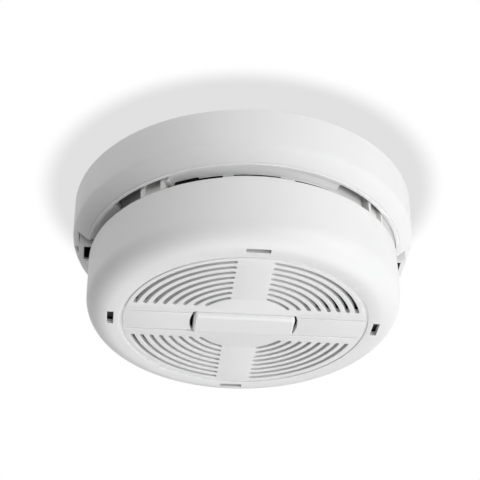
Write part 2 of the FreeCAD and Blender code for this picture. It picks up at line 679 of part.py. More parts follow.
def circuit_board():
    """Round board with a straight edge beside the battery well."""
    disc = rod(BOARD_R, BOARD, BOARD_TOP)
    disc = disc.cut(box(-BOARD_R, BOARD_R, BOARD_EDGE_Y, BOARD_R, BOARD - PAST, BOARD_TOP + PAST))
    holes = [rod(SCREW_PASS_R, BOARD - PAST, BOARD_TOP + PAST, p) for p in BOARD_SCREWS]
    return disc.cut(Part.Compound(holes))


def board_screws():
    """Four screws up through the board into the chassis posts."""
    length = BOARD_T + BOARD_STANDOFF + BOARD_SCREW_BITE
    return [hung_screw(p, BOARD, SCREW_HEAD_R, length) for p in BOARD_SCREWS]


def chamber_base():
    """Insulating floor of the sensing chamber, with three posts for the collector."""
    x, y = CHAMBER_XY
    floor = rod(CHAMBER_R - CAN_WALL - CAN_FIT, BOARD - CHAMBER_FLOOR, BOARD, CHAMBER_XY)
    posts = []
    for i in range(3):
        spot = at(COLLECTOR_POST_PITCH, 120 * i)
        posts.append(rod(COLLECTOR_POST_R, COLLECTOR_TOP, BOARD - JOIN, (x + spot.x, y + spot.y)))
    return fused([floor] + posts)


def source_holder():
    """Small ring-topped holder of the ion source, in the middle of the chamber."""
    top = BOARD - CHAMBER_FLOOR
    low = top - SOURCE_H
    return rod(SOURCE_R, low, top, CHAMBER_XY).cut(
        rod(SOURCE_HOLE_R, low - PAST, low + SOURCE_HOLE_D, CHAMBER_XY))


def collector_plate():
    """Thin electrode on the chamber's posts, with an ion hole."""
    return tube(COLLECTOR_R, COLLECTOR_HOLE_R, COLLECTOR_TOP - COLLECTOR_T, COLLECTOR_TOP, CHAMBER_XY)


def chamber_can():
    """Metal can over the chamber, with smoke windows round its side and holes in its face."""
    x, y = CHAMBER_XY
    bottom = BOARD - CHAMBER_H
    can = rod(CHAMBER_R, bottom, BOARD, CHAMBER_XY)
    can = can.cut(rod(CHAMBER_R - CAN_WALL, bottom + CAN_WALL, BOARD + PAST, CHAMBER_XY))
    cuts = []
    window_low = bottom + CAN_WINDOW_EDGE
    window_top = BOARD - CHAMBER_FLOOR - CAN_WINDOW_EDGE / 2
    for i in range(CAN_WINDOWS):
        window = sector(CHAMBER_R - 2 * CAN_WALL, CHAMBER_R + PAST, window_low, window_top,
                        -CAN_WINDOW_HALF, CAN_WINDOW_HALF)
        window = turn(window, i * 360.0 / CAN_WINDOWS)
        window.translate(Vector(x, y, 0))
        cuts.append(window)
        spot = at(CAN_HOLE_PITCH_R, (i + 0.5) * 360.0 / CAN_WINDOWS)
        cuts.append(rod(CAN_HOLE_R, bottom - PAST, bottom + PAST, (x + spot.x, y + spot.y)))
    return can.cut(Part.Compound(cuts))


def horn_base():
    """Ring that carries the diaphragm."""
    low = BOARD - HORN_BASE_H
    return tube(HORN_R, HORN_R - HORN_WALL - HORN_SEAT, low, BOARD, HORN_XY)


def horn_diaphragm():
    """Thin brass disc between the horn's ring and its cap."""
    top = BOARD - HORN_BASE_H
    return rod(HORN_R - HORN_WALL, top - DIAPHRAGM_T, top, HORN_XY)


def horn_cap():
    """Resonator cup with a round sound port."""
    rim = BOARD - HORN_BASE_H
    bottom = rim - DIAPHRAGM_T - HORN_CAP_H
    cup = rod(HORN_R, bottom, rim, HORN_XY)
    seat = rod(HORN_R - HORN_WALL, rim - DIAPHRAGM_T, rim + PAST, HORN_XY)
    hollow = rod(HORN_R - HORN_WALL - HORN_SEAT, bottom + HORN_WALL, rim, HORN_XY)
    port = rod(HORN_PORT_R, bottom - PAST, bottom + HORN_WALL + PAST, HORN_XY)
    return cup.cut(seat).cut(hollow).cut(port)


def core_windows(fit):
    """The two openings of the core, reduced by a fit."""
    half_x = CORE_L / 2 - YOKE
    low = BOARD - CORE_H + YOKE + fit
    high = BOARD - YOKE - fit
    return half_x, low, high


def transformer_core():
    """Laminated core with a middle limb between two openings."""
    body = block((0.0, CORE_Y), (CORE_L, CORE_W, CORE_H), BOARD)
    half_x, low, high = core_windows(0.0)
    depth = CORE_W / 2 + 1
    cuts = [box(side * LIMB / 2 if side > 0 else -half_x, half_x if side > 0 else -LIMB / 2,
                CORE_Y - depth, CORE_Y + depth, low, high) for side in (-1, 1)]
    return body.cut(Part.Compound(cuts))


def transformer_winding():
    """Winding round the middle limb."""
    half_x, low, high = core_windows(WINDING_FIT)
    half_x -= WINDING_FIT
    reach = CORE_W / 2 + WINDING_PAST
    body = box(-half_x, half_x, CORE_Y - reach, CORE_Y + reach, low, high)
    hx = LIMB / 2 + WINDING_FIT
    hy = CORE_W / 2 + WINDING_FIT
    return body.cut(box(-hx, hx, CORE_Y - hy, CORE_Y + hy, low - PAST, high + PAST))


def film_capacitor():
    """Boxed film capacitor."""
    body = block(CAPACITOR_XY, CAPACITOR, BOARD)
    upright = [e for e in body.Edges if abs(e.tangentAt(e.FirstParameter).z) > 0.9]
    return body.makeFillet(CAPACITOR_ROUND, upright)


def reservoir_capacitors():
    """Two round electrolytic capacitors, each with a crimp groove."""
    cans = []
    start, end, depth = RESERVOIR_CRIMP
    for xy in RESERVOIR_XY:
        can = rod(RESERVOIR_R, BOARD - RESERVOIR_H, BOARD, xy)
        groove = tube(RESERVOIR_R + PAST, RESERVOIR_R - depth, BOARD - end, BOARD - start, xy)
        cans.append(can.cut(groove))
    return cans


def varistor():
    """Disc varistor standing on the board on two legs."""
    x, y = VARISTOR_XY
    centre = Vector(x, y - VARISTOR_T / 2, BOARD - VARISTOR_R - VARISTOR_LIFT)
    disc = Part.makeCylinder(VARISTOR_R, VARISTOR_T, centre, Vector(0, 1, 0))
    legs = [block((x + side * VARISTOR_R / 2, y), (LEG, LEG, VARISTOR_R), BOARD) for side in (-1, 1)]
    return fused([disc] + legs)


def control_chip():
    """Chip with two rows of legs."""
    x, y = CHIP_XY
    body = block(CHIP_XY, (CHIP_L, CHIP_W, CHIP_H), BOARD - CHIP_LIFT)
    pitch = CHIP_L / CHIP_PINS
    legs = []
    for i in range(CHIP_PINS):
        px = x + pitch * (i - (CHIP_PINS - 1) / 2)
        for side in (-1, 1):
            leg_y = y + side * (CHIP_W / 2 + LEG / 4)
            legs.append(block((px, leg_y), (LEG, LEG, CHIP_H - CHIP_LIFT), BOARD))
    return fused([body] + legs)


def led_standoffs():
    """Two spacers that bring the lights down to the grille."""
    low = FACE_IN + LED_CLEAR + LED_L
    return [rod(LED_FLANGE_R, low, BOARD, xy) for xy in LED_XY]


def indicator_leds():
    """Two round-nosed lights."""
    low = FACE_IN + LED_CLEAR
    top = low + LED_L
    lights = []
    for x, y in LED_XY:
        nose = Part.makeSphere(LED_R, Vector(x, y, low + LED_R))
        body = rod(LED_R, low + LED_R, top, (x, y))
        flange = rod(LED_FLANGE_R, top - LED_FLANGE_T, top, (x, y))
        lights.append(fused([body, nose, flange]))
    return lights


def fuse():
    """Glass fuse lying along X."""
    start = Vector(-FUSE_L / 2, FUSE_Y, BOARD - FUSE_LIFT - FUSE_R)
    return Part.makeCylinder(FUSE_R, FUSE_L, start, Vector(1, 0, 0))


def fuse_clips():
    """Two clips that hold the fuse's ends."""
    axis = BOARD - FUSE_LIFT - FUSE_R
    clips = []
    for side in (-1, 1):
        x = side * (FUSE_L - FUSE_CAP_L) / 2
        size = (FUSE_CAP_L, 2 * FUSE_R + 2 * LEG, FUSE_LIFT + FUSE_R + LEG)
        body = block((x, FUSE_Y), size, BOARD)
        start = Vector(x - FUSE_CAP_L, FUSE_Y, axis)
        bore = Part.makeCylinder(FUSE_R + FUSE_FIT, 2 * FUSE_CAP_L, start, Vector(1, 0, 0))
        clips.append(body.cut(bore))
    return clips


def test_switch():
    """Square switch housing with a bore for its plunger."""
    body = block((0.0, 0.0), (2 * SWITCH_HALF, 2 * SWITCH_HALF, SWITCH_H), BOARD)
    return body.cut(rod(PLUNGER_R + SCREW_FIT, SWITCH_BOTTOM - PAST, SWITCH_BOTTOM + PLUNGER_IN))


def switch_plunger():
    """Round plunger of the switch."""
    return rod(PLUNGER_R, PLUNGER_END, SWITCH_BOTTOM + PLUNGER_IN)


def battery_ends():
    """X of the battery's blunt end and of its terminal end."""
    start = -WELL_X + BATTERY_FIT
    return start, start + BATTERY_L


def backup_battery():
    """Rectangular 9 V battery in the well."""
    x0, x1 = battery_ends()
    half = BATTERY_W / 2
    body = box(x0, x1, BATTERY_Y - half, BATTERY_Y + half, BATTERY_Z, BATTERY_Z + BATTERY_H)
    along = [e for e in body.Edges if abs(e.tangentAt(e.FirstParameter).x) > 0.9]
    return body.makeFillet(BATTERY_ROUND, along)


def battery_terminals():
    """Snap stud and snap socket on the battery's end."""
    x = battery_ends()[1]
    z = BATTERY_Z + BATTERY_H / 2
    studs = []
    for side, radius in zip((-1, 1), BATTERY_STUD_R):
        start = Vector(x, BATTERY_Y + side * BATTERY_STUD_PITCH / 2, z)
        studs.append(Part.makeCylinder(radius, BATTERY_STUD_L, start, Vector(1, 0, 0)))
    return studs


def battery_connector():
    """Connector plate on the battery's terminals."""
    x = battery_ends()[1] + BATTERY_STUD_L
    z = BATTERY_Z + BATTERY_H / 2
    half = BATTERY_STUD_PITCH / 2 + CONNECTOR_PAST
    body = box(x, x + CONNECTOR_T, BATTERY_Y - half, BATTERY_Y + half, z - CONNECTOR_HALF_Z,
               z + CONNECTOR_HALF_Z)
    upright = [e for e in body.Edges if abs(e.tangentAt(e.FirstParameter).x) > 0.9]
    return body.makeFillet(CONNECTOR_ROUND, upright)


# ---- test button ----
def test_button():
    """Push plate with sloped sides and curved ends, a retaining flange and a stem."""
    top = FACE_Z - BUTTON_RISE
    side = FACE_Z - BUTTON_SIDE_RISE
    flat = BAR_HALF - BUTTON_SHOULDER
    steep = BAR_HALF - BUTTON_SHOULDER / 2
    points = [(BAR_HALF, FLANGE_TOP), (BAR_HALF, FACE_Z), (steep, side), (flat, top),
              (-flat, top), (-steep, side), (-BAR_HALF, FACE_Z), (-BAR_HALF, FLANGE_TOP)]
    corners = [Vector(-BUTTON_R, y, z) for y, z in points]
    plate = Part.Face(Part.makePolygon(corners + corners[:1])).extrude(Vector(2 * BUTTON_R, 0, 0))
    plate = plate.common(rod(BUTTON_R, top - PAST, FLANGE_TOP + PAST))
    half = BAR_HALF + FLANGE_LIP
    flange = box(-FLANGE_HALF_X, FLANGE_HALF_X, -half, half, FLANGE_BOTTOM, FLANGE_TOP)
    stem = rod(STEM_R, FLANGE_TOP - PAST, STEM_TOP)
    return fused([plate, flange, stem])


def button_spring():
    """Open coil spring between the button's flange and the switch housing."""
    gap = SPRING_WIRE_R + TOUCH / 2
    low = FLANGE_TOP + gap
    height = SWITCH_BOTTOM - gap - low
    helix = Part.makeHelix(height / SPRING_TURNS, height, SPRING_R)
    helix.translate(Vector(0, 0, low))
    corners = []
    for i in range(WIRE_SIDES):
        turn = 2 * math.pi * (i + 0.5) / WIRE_SIDES
        corners.append(Vector(SPRING_R + SPRING_WIRE_R * math.cos(turn), 0, low + SPRING_WIRE_R * math.sin(turn)))
    section = Part.makePolygon(corners + corners[:1])
    return Part.Wire(helix.Edges).makePipeShell([section], True, True)


NODES = {
    "surface_base": surface_base,
    "mounting_bracket": mounting_bracket,
    "bracket_screws": bracket_screws,
    "terminal_block": terminal_block,
    "terminal_screws": terminal_screws,
    "supply_contacts": supply_contacts,
    "cable_clamp": cable_clamp,
    "clamp_screws": clamp_screws,
    "front_cover": front_cover,
    "rear_chassis": rear_chassis,
    "chassis_screws": chassis_screws,
    "contact_carrier": contact_carrier,
    "supply_blades": supply_blades,
    "circuit_board": circuit_board,
    "board_screws": board_screws,
    "chamber_base": chamber_base,
    "source_holder": source_holder,
    "collector_plate": collector_plate,
    "chamber_can": chamber_can,
    "horn_base": horn_base,
    "horn_diaphragm": horn_diaphragm,
    "horn_cap": horn_cap,
    "transformer_core": transformer_core,
    "transformer_winding": transformer_winding,
    "film_capacitor": film_capacitor,
    "reservoir_capacitors": reservoir_capacitors,
    "varistor": varistor,
    "control_chip": control_chip,
    "led_standoffs": led_standoffs,
    "indicator_leds": indicator_leds,
    "fuse": fuse,
    "fuse_clips": fuse_clips,
    "test_switch": test_switch,
    "switch_plunger": switch_plunger,
    "backup_battery": backup_battery,
    "battery_terminals": battery_terminals,
    "battery_connector": battery_connector,
    "test_button": test_button,
    "button_spring": button_spring,
}


def main():
    """Write one STEP file per node."""
    os.makedirs("parts", exist_ok=True)
    for name, make in NODES.items():
        made = make()
        solids = made if isinstance(made, list) else made.Solids
        shape = solids[0] if len(solids) == 1 else Part.Compound(solids)
        for solid in shape.Solids:
            if not solid.isValid() or solid.Volume <= 0:
                raise ValueError(name + " has a bad solid")
        shape.exportStep("parts/" + name + ".step")
        print(name, len(shape.Solids), round(shape.Volume, 1))


main()
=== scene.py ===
"""Looks of a ceiling smoke alarm that hangs on a surface mounting base."""

import json
import logging
import math
from dataclasses import dataclass
from enum import Enum
from typing import Optional, Protocol, Sequence

import bmesh
import bpy
from mathutils import Matrix, Vector


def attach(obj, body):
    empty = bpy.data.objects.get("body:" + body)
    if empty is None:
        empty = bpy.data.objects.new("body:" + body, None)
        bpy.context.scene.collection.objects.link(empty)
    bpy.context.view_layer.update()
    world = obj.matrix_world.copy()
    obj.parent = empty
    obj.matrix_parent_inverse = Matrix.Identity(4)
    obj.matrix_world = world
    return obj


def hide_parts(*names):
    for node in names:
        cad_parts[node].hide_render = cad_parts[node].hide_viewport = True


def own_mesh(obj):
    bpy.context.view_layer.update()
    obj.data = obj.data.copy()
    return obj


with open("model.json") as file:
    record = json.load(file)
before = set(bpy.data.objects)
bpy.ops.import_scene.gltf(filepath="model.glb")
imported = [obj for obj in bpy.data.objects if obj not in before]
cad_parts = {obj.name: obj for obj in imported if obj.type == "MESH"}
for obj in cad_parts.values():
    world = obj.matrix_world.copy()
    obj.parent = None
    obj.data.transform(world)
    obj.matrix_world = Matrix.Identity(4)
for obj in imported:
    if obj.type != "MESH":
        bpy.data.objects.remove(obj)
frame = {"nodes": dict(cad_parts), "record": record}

LOG = logging.getLogger("smoke_alarm")
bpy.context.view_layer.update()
MM = 0.001
WELD = 1e-6              # vertices closer than this, in metres, become one
TURNS = 288              # columns round a turned part
ROUND_STEPS = 4          # steps in a small rounded edge
MITRE_LIMIT = 0.3        # keeps a sharp corner from running out
SHARP_ANGLE = 32.0       # edges bent by more than this stay sharp, in degrees
PEG_COLUMNS = 32         # columns round a post, boss or stem
POST_R = 58.0            # radius on which the cover's screw posts stand
POST_AZIMUTHS = (65.0, 115.0, 245.0, 295.0)

Point = tuple[float, float]
Loop = list[Point]
Colour = tuple[float, float, float]
Socket = bpy.types.NodeSocket
Tree = bpy.types.NodeTree
Source = Socket | float


class Body(Enum):
    """The bodies that pieces ride on."""

    BASE = "base"
    HEAD = "alarm_head"
    BUTTON = "push_button"


class Effect(Enum):
    """The shader node groups that several finishes share."""

    MOULD_GRAIN = "mould_grain"
    EDGE_WEAR = "edge_wear"
    SETTLED_DUST = "settled_dust"
    BRUSHED_LINES = "brushed_lines"


# ---- outlines, in millimetres ----
def polar(radius: float, azimuth: float) -> Point:
    """Point at a radius and an angle that runs from -Y towards +X, in degrees."""
    angle = math.radians(azimuth)
    return radius * math.sin(angle), -radius * math.cos(angle)


def circle(radius: float, count: int, centre: Point = (0.0, 0.0)) -> Loop:
    """Closed circle as evenly spread points."""
    spots = [polar(radius, 360.0 * i / count) for i in range(count)]
    return [(x + centre[0], y + centre[1]) for x, y in spots]


def arc(radius: float, start: float, end: float, steps: int) -> Loop:
    """Points along an arc round the origin.

    Args:
        radius: The arc's radius.
        start: Its first angle.
        end: Its last angle.
        steps: Number of spans.

    Returns:
        The points, both ends included.
    """
    return [polar(radius, start + (end - start) * i / steps) for i in range(steps + 1)]


def arc_slot(radius: float, half: float, start: float, end: float, caps: int = 8) -> Loop:
    """Outline of a curved slot with round ends.

    Args:
        radius: Radius of its middle line.
        half: Half its width.
        start: Angle of the first end's centre.
        end: Angle of the last end's centre.
        caps: Spans round each end.

    Returns:
        The closed outline.
    """
    steps = max(6, int(abs(end - start) * radius / 60.0))
    points = arc(radius + half, start, end, steps)
    for at, sign in ((end, 1.0), (start, -1.0)):
        cx, cy = polar(radius, at)
        out = Vector((cx, cy)).normalized()
        ahead = Vector((-out.y, out.x)) * sign
        first = out * sign
        for i in range(1, caps):
            turn = math.pi * i / caps
            spot = first * math.cos(turn) + ahead * math.sin(turn)
            points.append((cx + spot.x * half, cy + spot.y * half))
        if sign > 0:
            points += arc(radius - half, end, start, steps)
    return points


def straight_slot(centre: Point, length: float, half: float, along_x: bool,
                  caps: int = 10) -> Loop:
    """Outline of a straight slot with round ends.

    Args:
        centre: Its middle.
        length: Its length, end to end.
        half: Half its width.
        along_x: True where it runs along X, else along Y.
        caps: Spans round each end.

    Returns:
        The closed outline.
    """
    reach = length / 2 - half
    points = []
    for sign in (1.0, -1.0):
        for i in range(caps + 1):
            turn = -math.pi / 2 + math.pi * i / caps
            points.append((sign * (reach + half * math.cos(turn)), sign * half * math.sin(turn)))
    if not along_x:
        points = [(-y, x) for x, y in points]
    return [(x + centre[0], y + centre[1]) for x, y in points]


def signed_area(loop: Sequence[Point]) -> float:
    """Area of an outline, positive where it runs anticlockwise.

    Args:
        loop: A closed outline.

    Returns:
        The area.
    """
    total = 0.0
    for (x0, y0), (x1, y1) in zip(loop, list(loop[1:]) + [loop[0]]):
        total += x0 * y1 - x1 * y0
    return total / 2


def half_turned(points: Loop, times: int) -> Loop:
    """Points turned by a number of half turns about the axis."""
    sign = -1.0 if times % 2 else 1.0
    return [(x * sign, y * sign) for x, y in points]


def grown(loop: Sequence[Point], distance: float) -> Loop:
    """Outline moved outwards by a distance, or inwards where it is negative.

    Args:
        loop: A closed outline.
        distance: How far each side moves.

    Returns:
        The moved outline, with as many points.
    """
    sign = 1.0 if signed_area(loop) > 0 else -1.0
    count = len(loop)
    moved = []
    for i, (x, y) in enumerate(loop):
        back = Vector((x - loop[i - 1][0], y - loop[i - 1][1])).normalized()
        ahead = Vector((loop[(i + 1) % count][0] - x, loop[(i + 1) % count][1] - y)).normalized()
        n0, n1 = Vector((back.y, -back.x)), Vector((ahead.y, -ahead.x))
        mitre = (n0 + n1) / max(MITRE_LIMIT, 1.0 + n0.dot(n1))
        moved.append((x + mitre.x * distance * sign, y + mitre.y * distance * sign))
    return moved


def rounded_profile(points: Sequence[tuple[float, float, float]], step: float = 9.0) -> Loop:
    """Closed (radius, height) outline with rounded corners.

    Args:
        points: Corners, each with its rounding radius.
        step: Largest angle of one span of a rounding, in degrees.

    Returns:
        The outline's points.
    """
    count = len(points)
    outline: Loop = []
    for i, (r, z, rounding) in enumerate(points):
        here = Vector((r, z))
        if rounding == 0:
            outline.append((r, z))
            continue
        back = (Vector(points[i - 1][:2]) - here).normalized()
        ahead = (Vector(points[(i + 1) % count][:2]) - here).normalized()
        half = math.acos(max(-1.0, min(1.0, back.dot(ahead)))) / 2
        centre = here + (back + ahead).normalized() * (rounding / math.sin(half))
        run = rounding / math.tan(half)
        start = here + back * run - centre
        end = here + ahead * run - centre
        sweep = start.angle_signed(end)
        steps = max(2, int(abs(math.degrees(sweep)) / step))
        for k in range(steps + 1):
            turn = -sweep * k / steps
            spot = Vector((start.x * math.cos(turn) - start.y * math.sin(turn),
                           start.x * math.sin(turn) + start.y * math.cos(turn)))
            outline.append(tuple(centre + spot))
    return outline


# ---- mesh building ----
class Shell:
    """A mesh under construction, fed with rings of points in millimetres."""

    def __init__(self, name: str) -> None:
        """Starts an empty mesh of that name.

        Args:
            name: The mesh' name.
        """
        self.name = name
        self.mesh = bmesh.new()

    def ring(self, loop: Sequence[Point], z: float) -> list:
        """Adds a level ring of vertices at a height."""
        return [self.mesh.verts.new((x * MM, y * MM, z * MM)) for x, y in loop]

    def spots(self, points: Sequence[Sequence[float]]) -> list:
        """Adds vertices at (x, y, z) points."""
        return [self.mesh.verts.new(Vector(p) * MM) for p in points]

    def bridge(self, first: Sequence, second: Sequence, closed: bool = True) -> None:
        """Joins two equally long rows of vertices with four-sided faces.

        Args:
            first: One row.
            second: The other row.
            closed: True where the rows are rings.
        """
        count = len(first)
        for i in range(count if closed else count - 1):
            j = (i + 1) % count
            self.mesh.faces.new([first[i], first[j], second[j], second[i]]).smooth = True

    def fill(self, loops: Sequence[Sequence], up: bool) -> None:
        """Closes a level region between its outer ring and the rings of its holes.

        Args:
            loops: The outer ring and any inner rings.
            up: True where the face looks towards +Z.
        """
        edges = []
        for loop in loops:
            for a, b in zip(loop, list(loop[1:]) + [loop[0]]):
                edges.append(self.mesh.edges.get((a, b)) or self.mesh.edges.new((a, b)))
        made = bmesh.ops.triangle_fill(self.mesh, use_beauty=True, use_dissolve=False, edges=edges)
        for face in made["geom"]:
            if isinstance(face, bmesh.types.BMFace):
                face.normal_update()
                face.smooth = False
                if (face.normal.z > 0) != up:
                    face.normal_flip()

    def rim(self, loop: Sequence[Point], z: float, rounding: float, z_end: float,
            outwards: bool) -> tuple[list, list]:
        """Rounded edge from a level face at z, and the wall from it to z_end.

        Args:
            loop: The wall's outline.
            z: Height of the level face.
            rounding: Radius of the edge.
            z_end: Height where the wall ends.
            outwards: True for a hole's wall, where the face lies outside of the outline.

        Returns:
            The ring that bounds the level face, and the ring at z_end.
        """
        into = 1.0 if z_end > z else -1.0
        rings = []
        for k in range(ROUND_STEPS + 1):
            turn = math.pi / 2 * k / ROUND_STEPS
            out = rounding * (1 - math.sin(turn)) * (1 if outwards else -1)
            rings.append(self.ring(grown(loop, out), z + into * rounding * (1 - math.cos(turn))))
        rings.append(self.ring(loop, z_end))
        for first, second in zip(rings, rings[1:]):
            self.bridge(first, second)
        return rings[0], rings[-1]

    def turned(self, outline: Sequence[Point], columns: int = TURNS, closed: bool = False,
               centre: Point = (0.0, 0.0)) -> list[list]:
        """Turns (radius, height) points round an upright axis.

        Args:
            outline: The points, in order.
            columns: Number of columns round the axis.
            closed: True where the last point joins the first.
            centre: The axis' place.

        Returns:
            One ring of vertices per point.
        """
        rings = [self.ring(circle(r, columns, centre), z) for r, z in outline]
        pairs = list(zip(rings, rings[1:])) + ([(rings[-1], rings[0])] if closed else [])
        for first, second in pairs:
            self.bridge(first, second)
        return rings

    def swept(self, outline: Sequence[Point], start: float, end: float, steps: int) -> None:
        """Sweeps a closed (radius, height) outline round the axis, with a face at each end.

        Args:
            outline: The outline.
            start: Angle of the first end, in degrees.
            end: Angle of the last end, in degrees.
            steps: Number of spans.
        """
        columns = []
        for k in range(steps + 1):
            azimuth = start + (end - start) * k / steps
            columns.append(self.spots([(*polar(r, azimuth), z) for r, z in outline]))
        self.tube(columns)

    def tube(self, rings: Sequence[Sequence]) -> None:
        """Joins rings of vertices in a row and closes both ends.

        Args:
            rings: The rings, in order.
        """
        for first, second in zip(rings, rings[1:]):
            self.bridge(first, second)
        for ring in (rings[0], rings[-1]):
            self.mesh.faces.new(ring)

    def placed(self) -> bpy.types.Object:
        """Makes the Blender object of the mesh.

        Returns:
            The new object, which rides on nothing.
        """
        data = bpy.data.meshes.new(self.name)
        self.mesh.to_mesh(data)
        self.mesh.free()
        piece = bpy.data.objects.new(self.name, data)
        bpy.context.scene.collection.objects.link(piece)
        return piece

    def made(self, body: Body) -> bpy.types.Object:
        """Cleans the mesh and makes the Blender object, riding on a body.

        Args:
            body: The body that it rides on.

        Returns:
            The new object.
        """
        bmesh.ops.remove_doubles(self.mesh, verts=self.mesh.verts[:], dist=WELD)
        bmesh.ops.recalc_face_normals(self.mesh, faces=self.mesh.faces[:])
        piece = self.placed()
        piece.data.set_sharp_from_angle(angle=math.radians(SHARP_ANGLE))
        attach(piece, body.value)
        LOG.info("%s: %d faces", self.name, len(piece.data.polygons))
        return piece


# ---- shader node groups ----
def calculate(tree: Tree, kind: str, first: Source, second: Source) -> Socket:
    """Adds a math node.

    Args:
        tree: The tree that gets it.
        kind: Its operation.
        first: A socket or a number.
        second: A socket or a number.

    Returns:
        The result's socket.
    """
    node = tree.nodes.new("ShaderNodeMath")
    node.operation = kind
    for slot, value in enumerate((first, second)):
        if isinstance(value, (int, float)):
            node.inputs[slot].default_value = value
        else:
            tree.links.new(value, node.inputs[slot])
    return node.outputs[0]


class EffectGroups:
    """Builds each shared shader effect once."""

    cloud_scale = 0.012          # of the grain's scale
    cloud_limits = (0.3, 0.7)
    pit_scale = 0.37             # of the grain's scale
    pit_share = 0.6
    edge_limits = (0.53, 0.62)   # pointiness that counts as an edge
    patch_limits = (0.38, 0.62)
    upward_limits = (0.15, 0.95)
    corner_limits = (0.5, 0.62)
    speck_limits = (0.35, 0.75)

    def __init__(self) -> None:
        """Builds every group."""
        self.groups = {
            Effect.MOULD_GRAIN: self._mould_grain(),
            Effect.EDGE_WEAR: self._edge_wear(),
            Effect.SETTLED_DUST: self._settled_dust(),
            Effect.BRUSHED_LINES: self._brushed_lines(),
        }

    @staticmethod
    def _start(effect: Effect, inputs: dict[str, float], outputs: Sequence[str]) -> tuple:
        """Makes an empty group with its sockets.

        Args:
            effect: Which effect it holds.
            inputs: Names and default values of its inputs.
            outputs: Names of its outputs.

        Returns:
            The group, its input node and its output node.
        """
        group = bpy.data.node_groups.new(effect.value, "ShaderNodeTree")
        for name, value in inputs.items():
            socket = group.interface.new_socket(name, in_out="INPUT", socket_type="NodeSocketFloat")
            socket.default_value = value
        for name in outputs:
            group.interface.new_socket(name, in_out="OUTPUT", socket_type="NodeSocketFloat")
        return group, group.nodes.new("NodeGroupInput"), group.nodes.new("NodeGroupOutput")

    @staticmethod
    def _place(group: Tree) -> Socket:
        """The socket of the object's own coordinates."""
        return group.nodes.new("ShaderNodeTexCoord").outputs["Object"]

    @staticmethod
    def _noise(group: Tree, vector: Socket, scale: Socket, detail: float,
               factor: float = 1.0) -> Socket:
        """Adds a noise texture of that scale times a factor and returns its value.

        Args:
            group: The group that gets it.
            vector: Where the noise is read.
            scale: Its scale.
            detail: Its detail.
            factor: What the scale is multiplied by.

        Returns:
            The noise, from 0 to 1.
        """
        node = group.nodes.new("ShaderNodeTexNoise")
        node.inputs["Detail"].default_value = detail
        group.links.new(vector, node.inputs["Vector"])
        group.links.new(calculate(group, "MULTIPLY", scale, factor), node.inputs["Scale"])
        return node.outputs["Fac"]

    @staticmethod
    def _ramp(group: Tree, value: Socket, limits: tuple[float, float]) -> Socket:
        """Maps a value between two limits to 0 and 1.

        Args:
            group: The group that gets the node.
            value: The value.
            limits: Where the value starts and ends to count.

        Returns:
            The mask.
        """
        node = group.nodes.new("ShaderNodeMapRange")
        node.interpolation_type = "SMOOTHSTEP"
        node.inputs["From Min"].default_value, node.inputs["From Max"].default_value = limits
        group.links.new(value, node.inputs["Value"])
        return node.outputs["Result"]

    def _mould_grain(self) -> Tree:
        """Fine spark-eroded mould texture with slow gloss clouds.

        Returns:
            The group.
        """
        sockets = {"Scale": 2600.0}
        group, inputs, outputs = self._start(Effect.MOULD_GRAIN, sockets, ("Height", "Cloud"))
        where = self._place(group)
        fine = self._noise(group, where, inputs.outputs["Scale"], detail=3.0)
        pits = self._noise(group, where, inputs.outputs["Scale"], 1.0, self.pit_scale)
        height = calculate(group, "ADD", fine, calculate(group, "MULTIPLY", pits, self.pit_share))
        cloud = self._noise(group, where, inputs.outputs["Scale"], 2.0, self.cloud_scale)
        group.links.new(height, outputs.inputs["Height"])
        group.links.new(self._ramp(group, cloud, self.cloud_limits), outputs.inputs["Cloud"])
        return group

    def _edge_wear(self) -> Tree:
        """Mask of rubbed outer edges, broken up by noise.

        Returns:
            The group.
        """
        sockets = {"Amount": 0.5, "Scale": 400.0}
        group, inputs, outputs = self._start(Effect.EDGE_WEAR, sockets, ("Mask",))
        where = self._place(group)
        point = group.nodes.new("ShaderNodeNewGeometry").outputs["Pointiness"]
        edge = self._ramp(group, point, self.edge_limits)
        noise = self._noise(group, where, inputs.outputs["Scale"], detail=4.0)
        patch = self._ramp(group, noise, self.patch_limits)
        mask = calculate(group, "MULTIPLY", edge, patch)
        mask = calculate(group, "MULTIPLY", mask, inputs.outputs["Amount"])
        group.links.new(mask, outputs.inputs["Mask"])
        return group

    def _settled_dust(self) -> Tree:
        """Mask of dust on faces that look up and in inner corners.

        Returns:
            The group.
        """
        sockets = {"Amount": 0.3, "Scale": 300.0}
        group, inputs, outputs = self._start(Effect.SETTLED_DUST, sockets, ("Mask",))
        where = self._place(group)
        geometry = group.nodes.new("ShaderNodeNewGeometry")
        split = group.nodes.new("ShaderNodeSeparateXYZ")
        group.links.new(geometry.outputs["Normal"], split.inputs[0])
        upwards = self._ramp(group, split.outputs["Z"], self.upward_limits)
        hollow = calculate(group, "SUBTRACT", 1.0, geometry.outputs["Pointiness"])
        place = calculate(group, "MAXIMUM", upwards, self._ramp(group, hollow, self.corner_limits))
        noise = self._noise(group, where, inputs.outputs["Scale"], detail=6.0)
        mask = calculate(group, "MULTIPLY", place, self._ramp(group, noise, self.speck_limits))
        mask = calculate(group, "MULTIPLY", mask, inputs.outputs["Amount"])
        group.links.new(mask, outputs.inputs["Mask"])
        return group

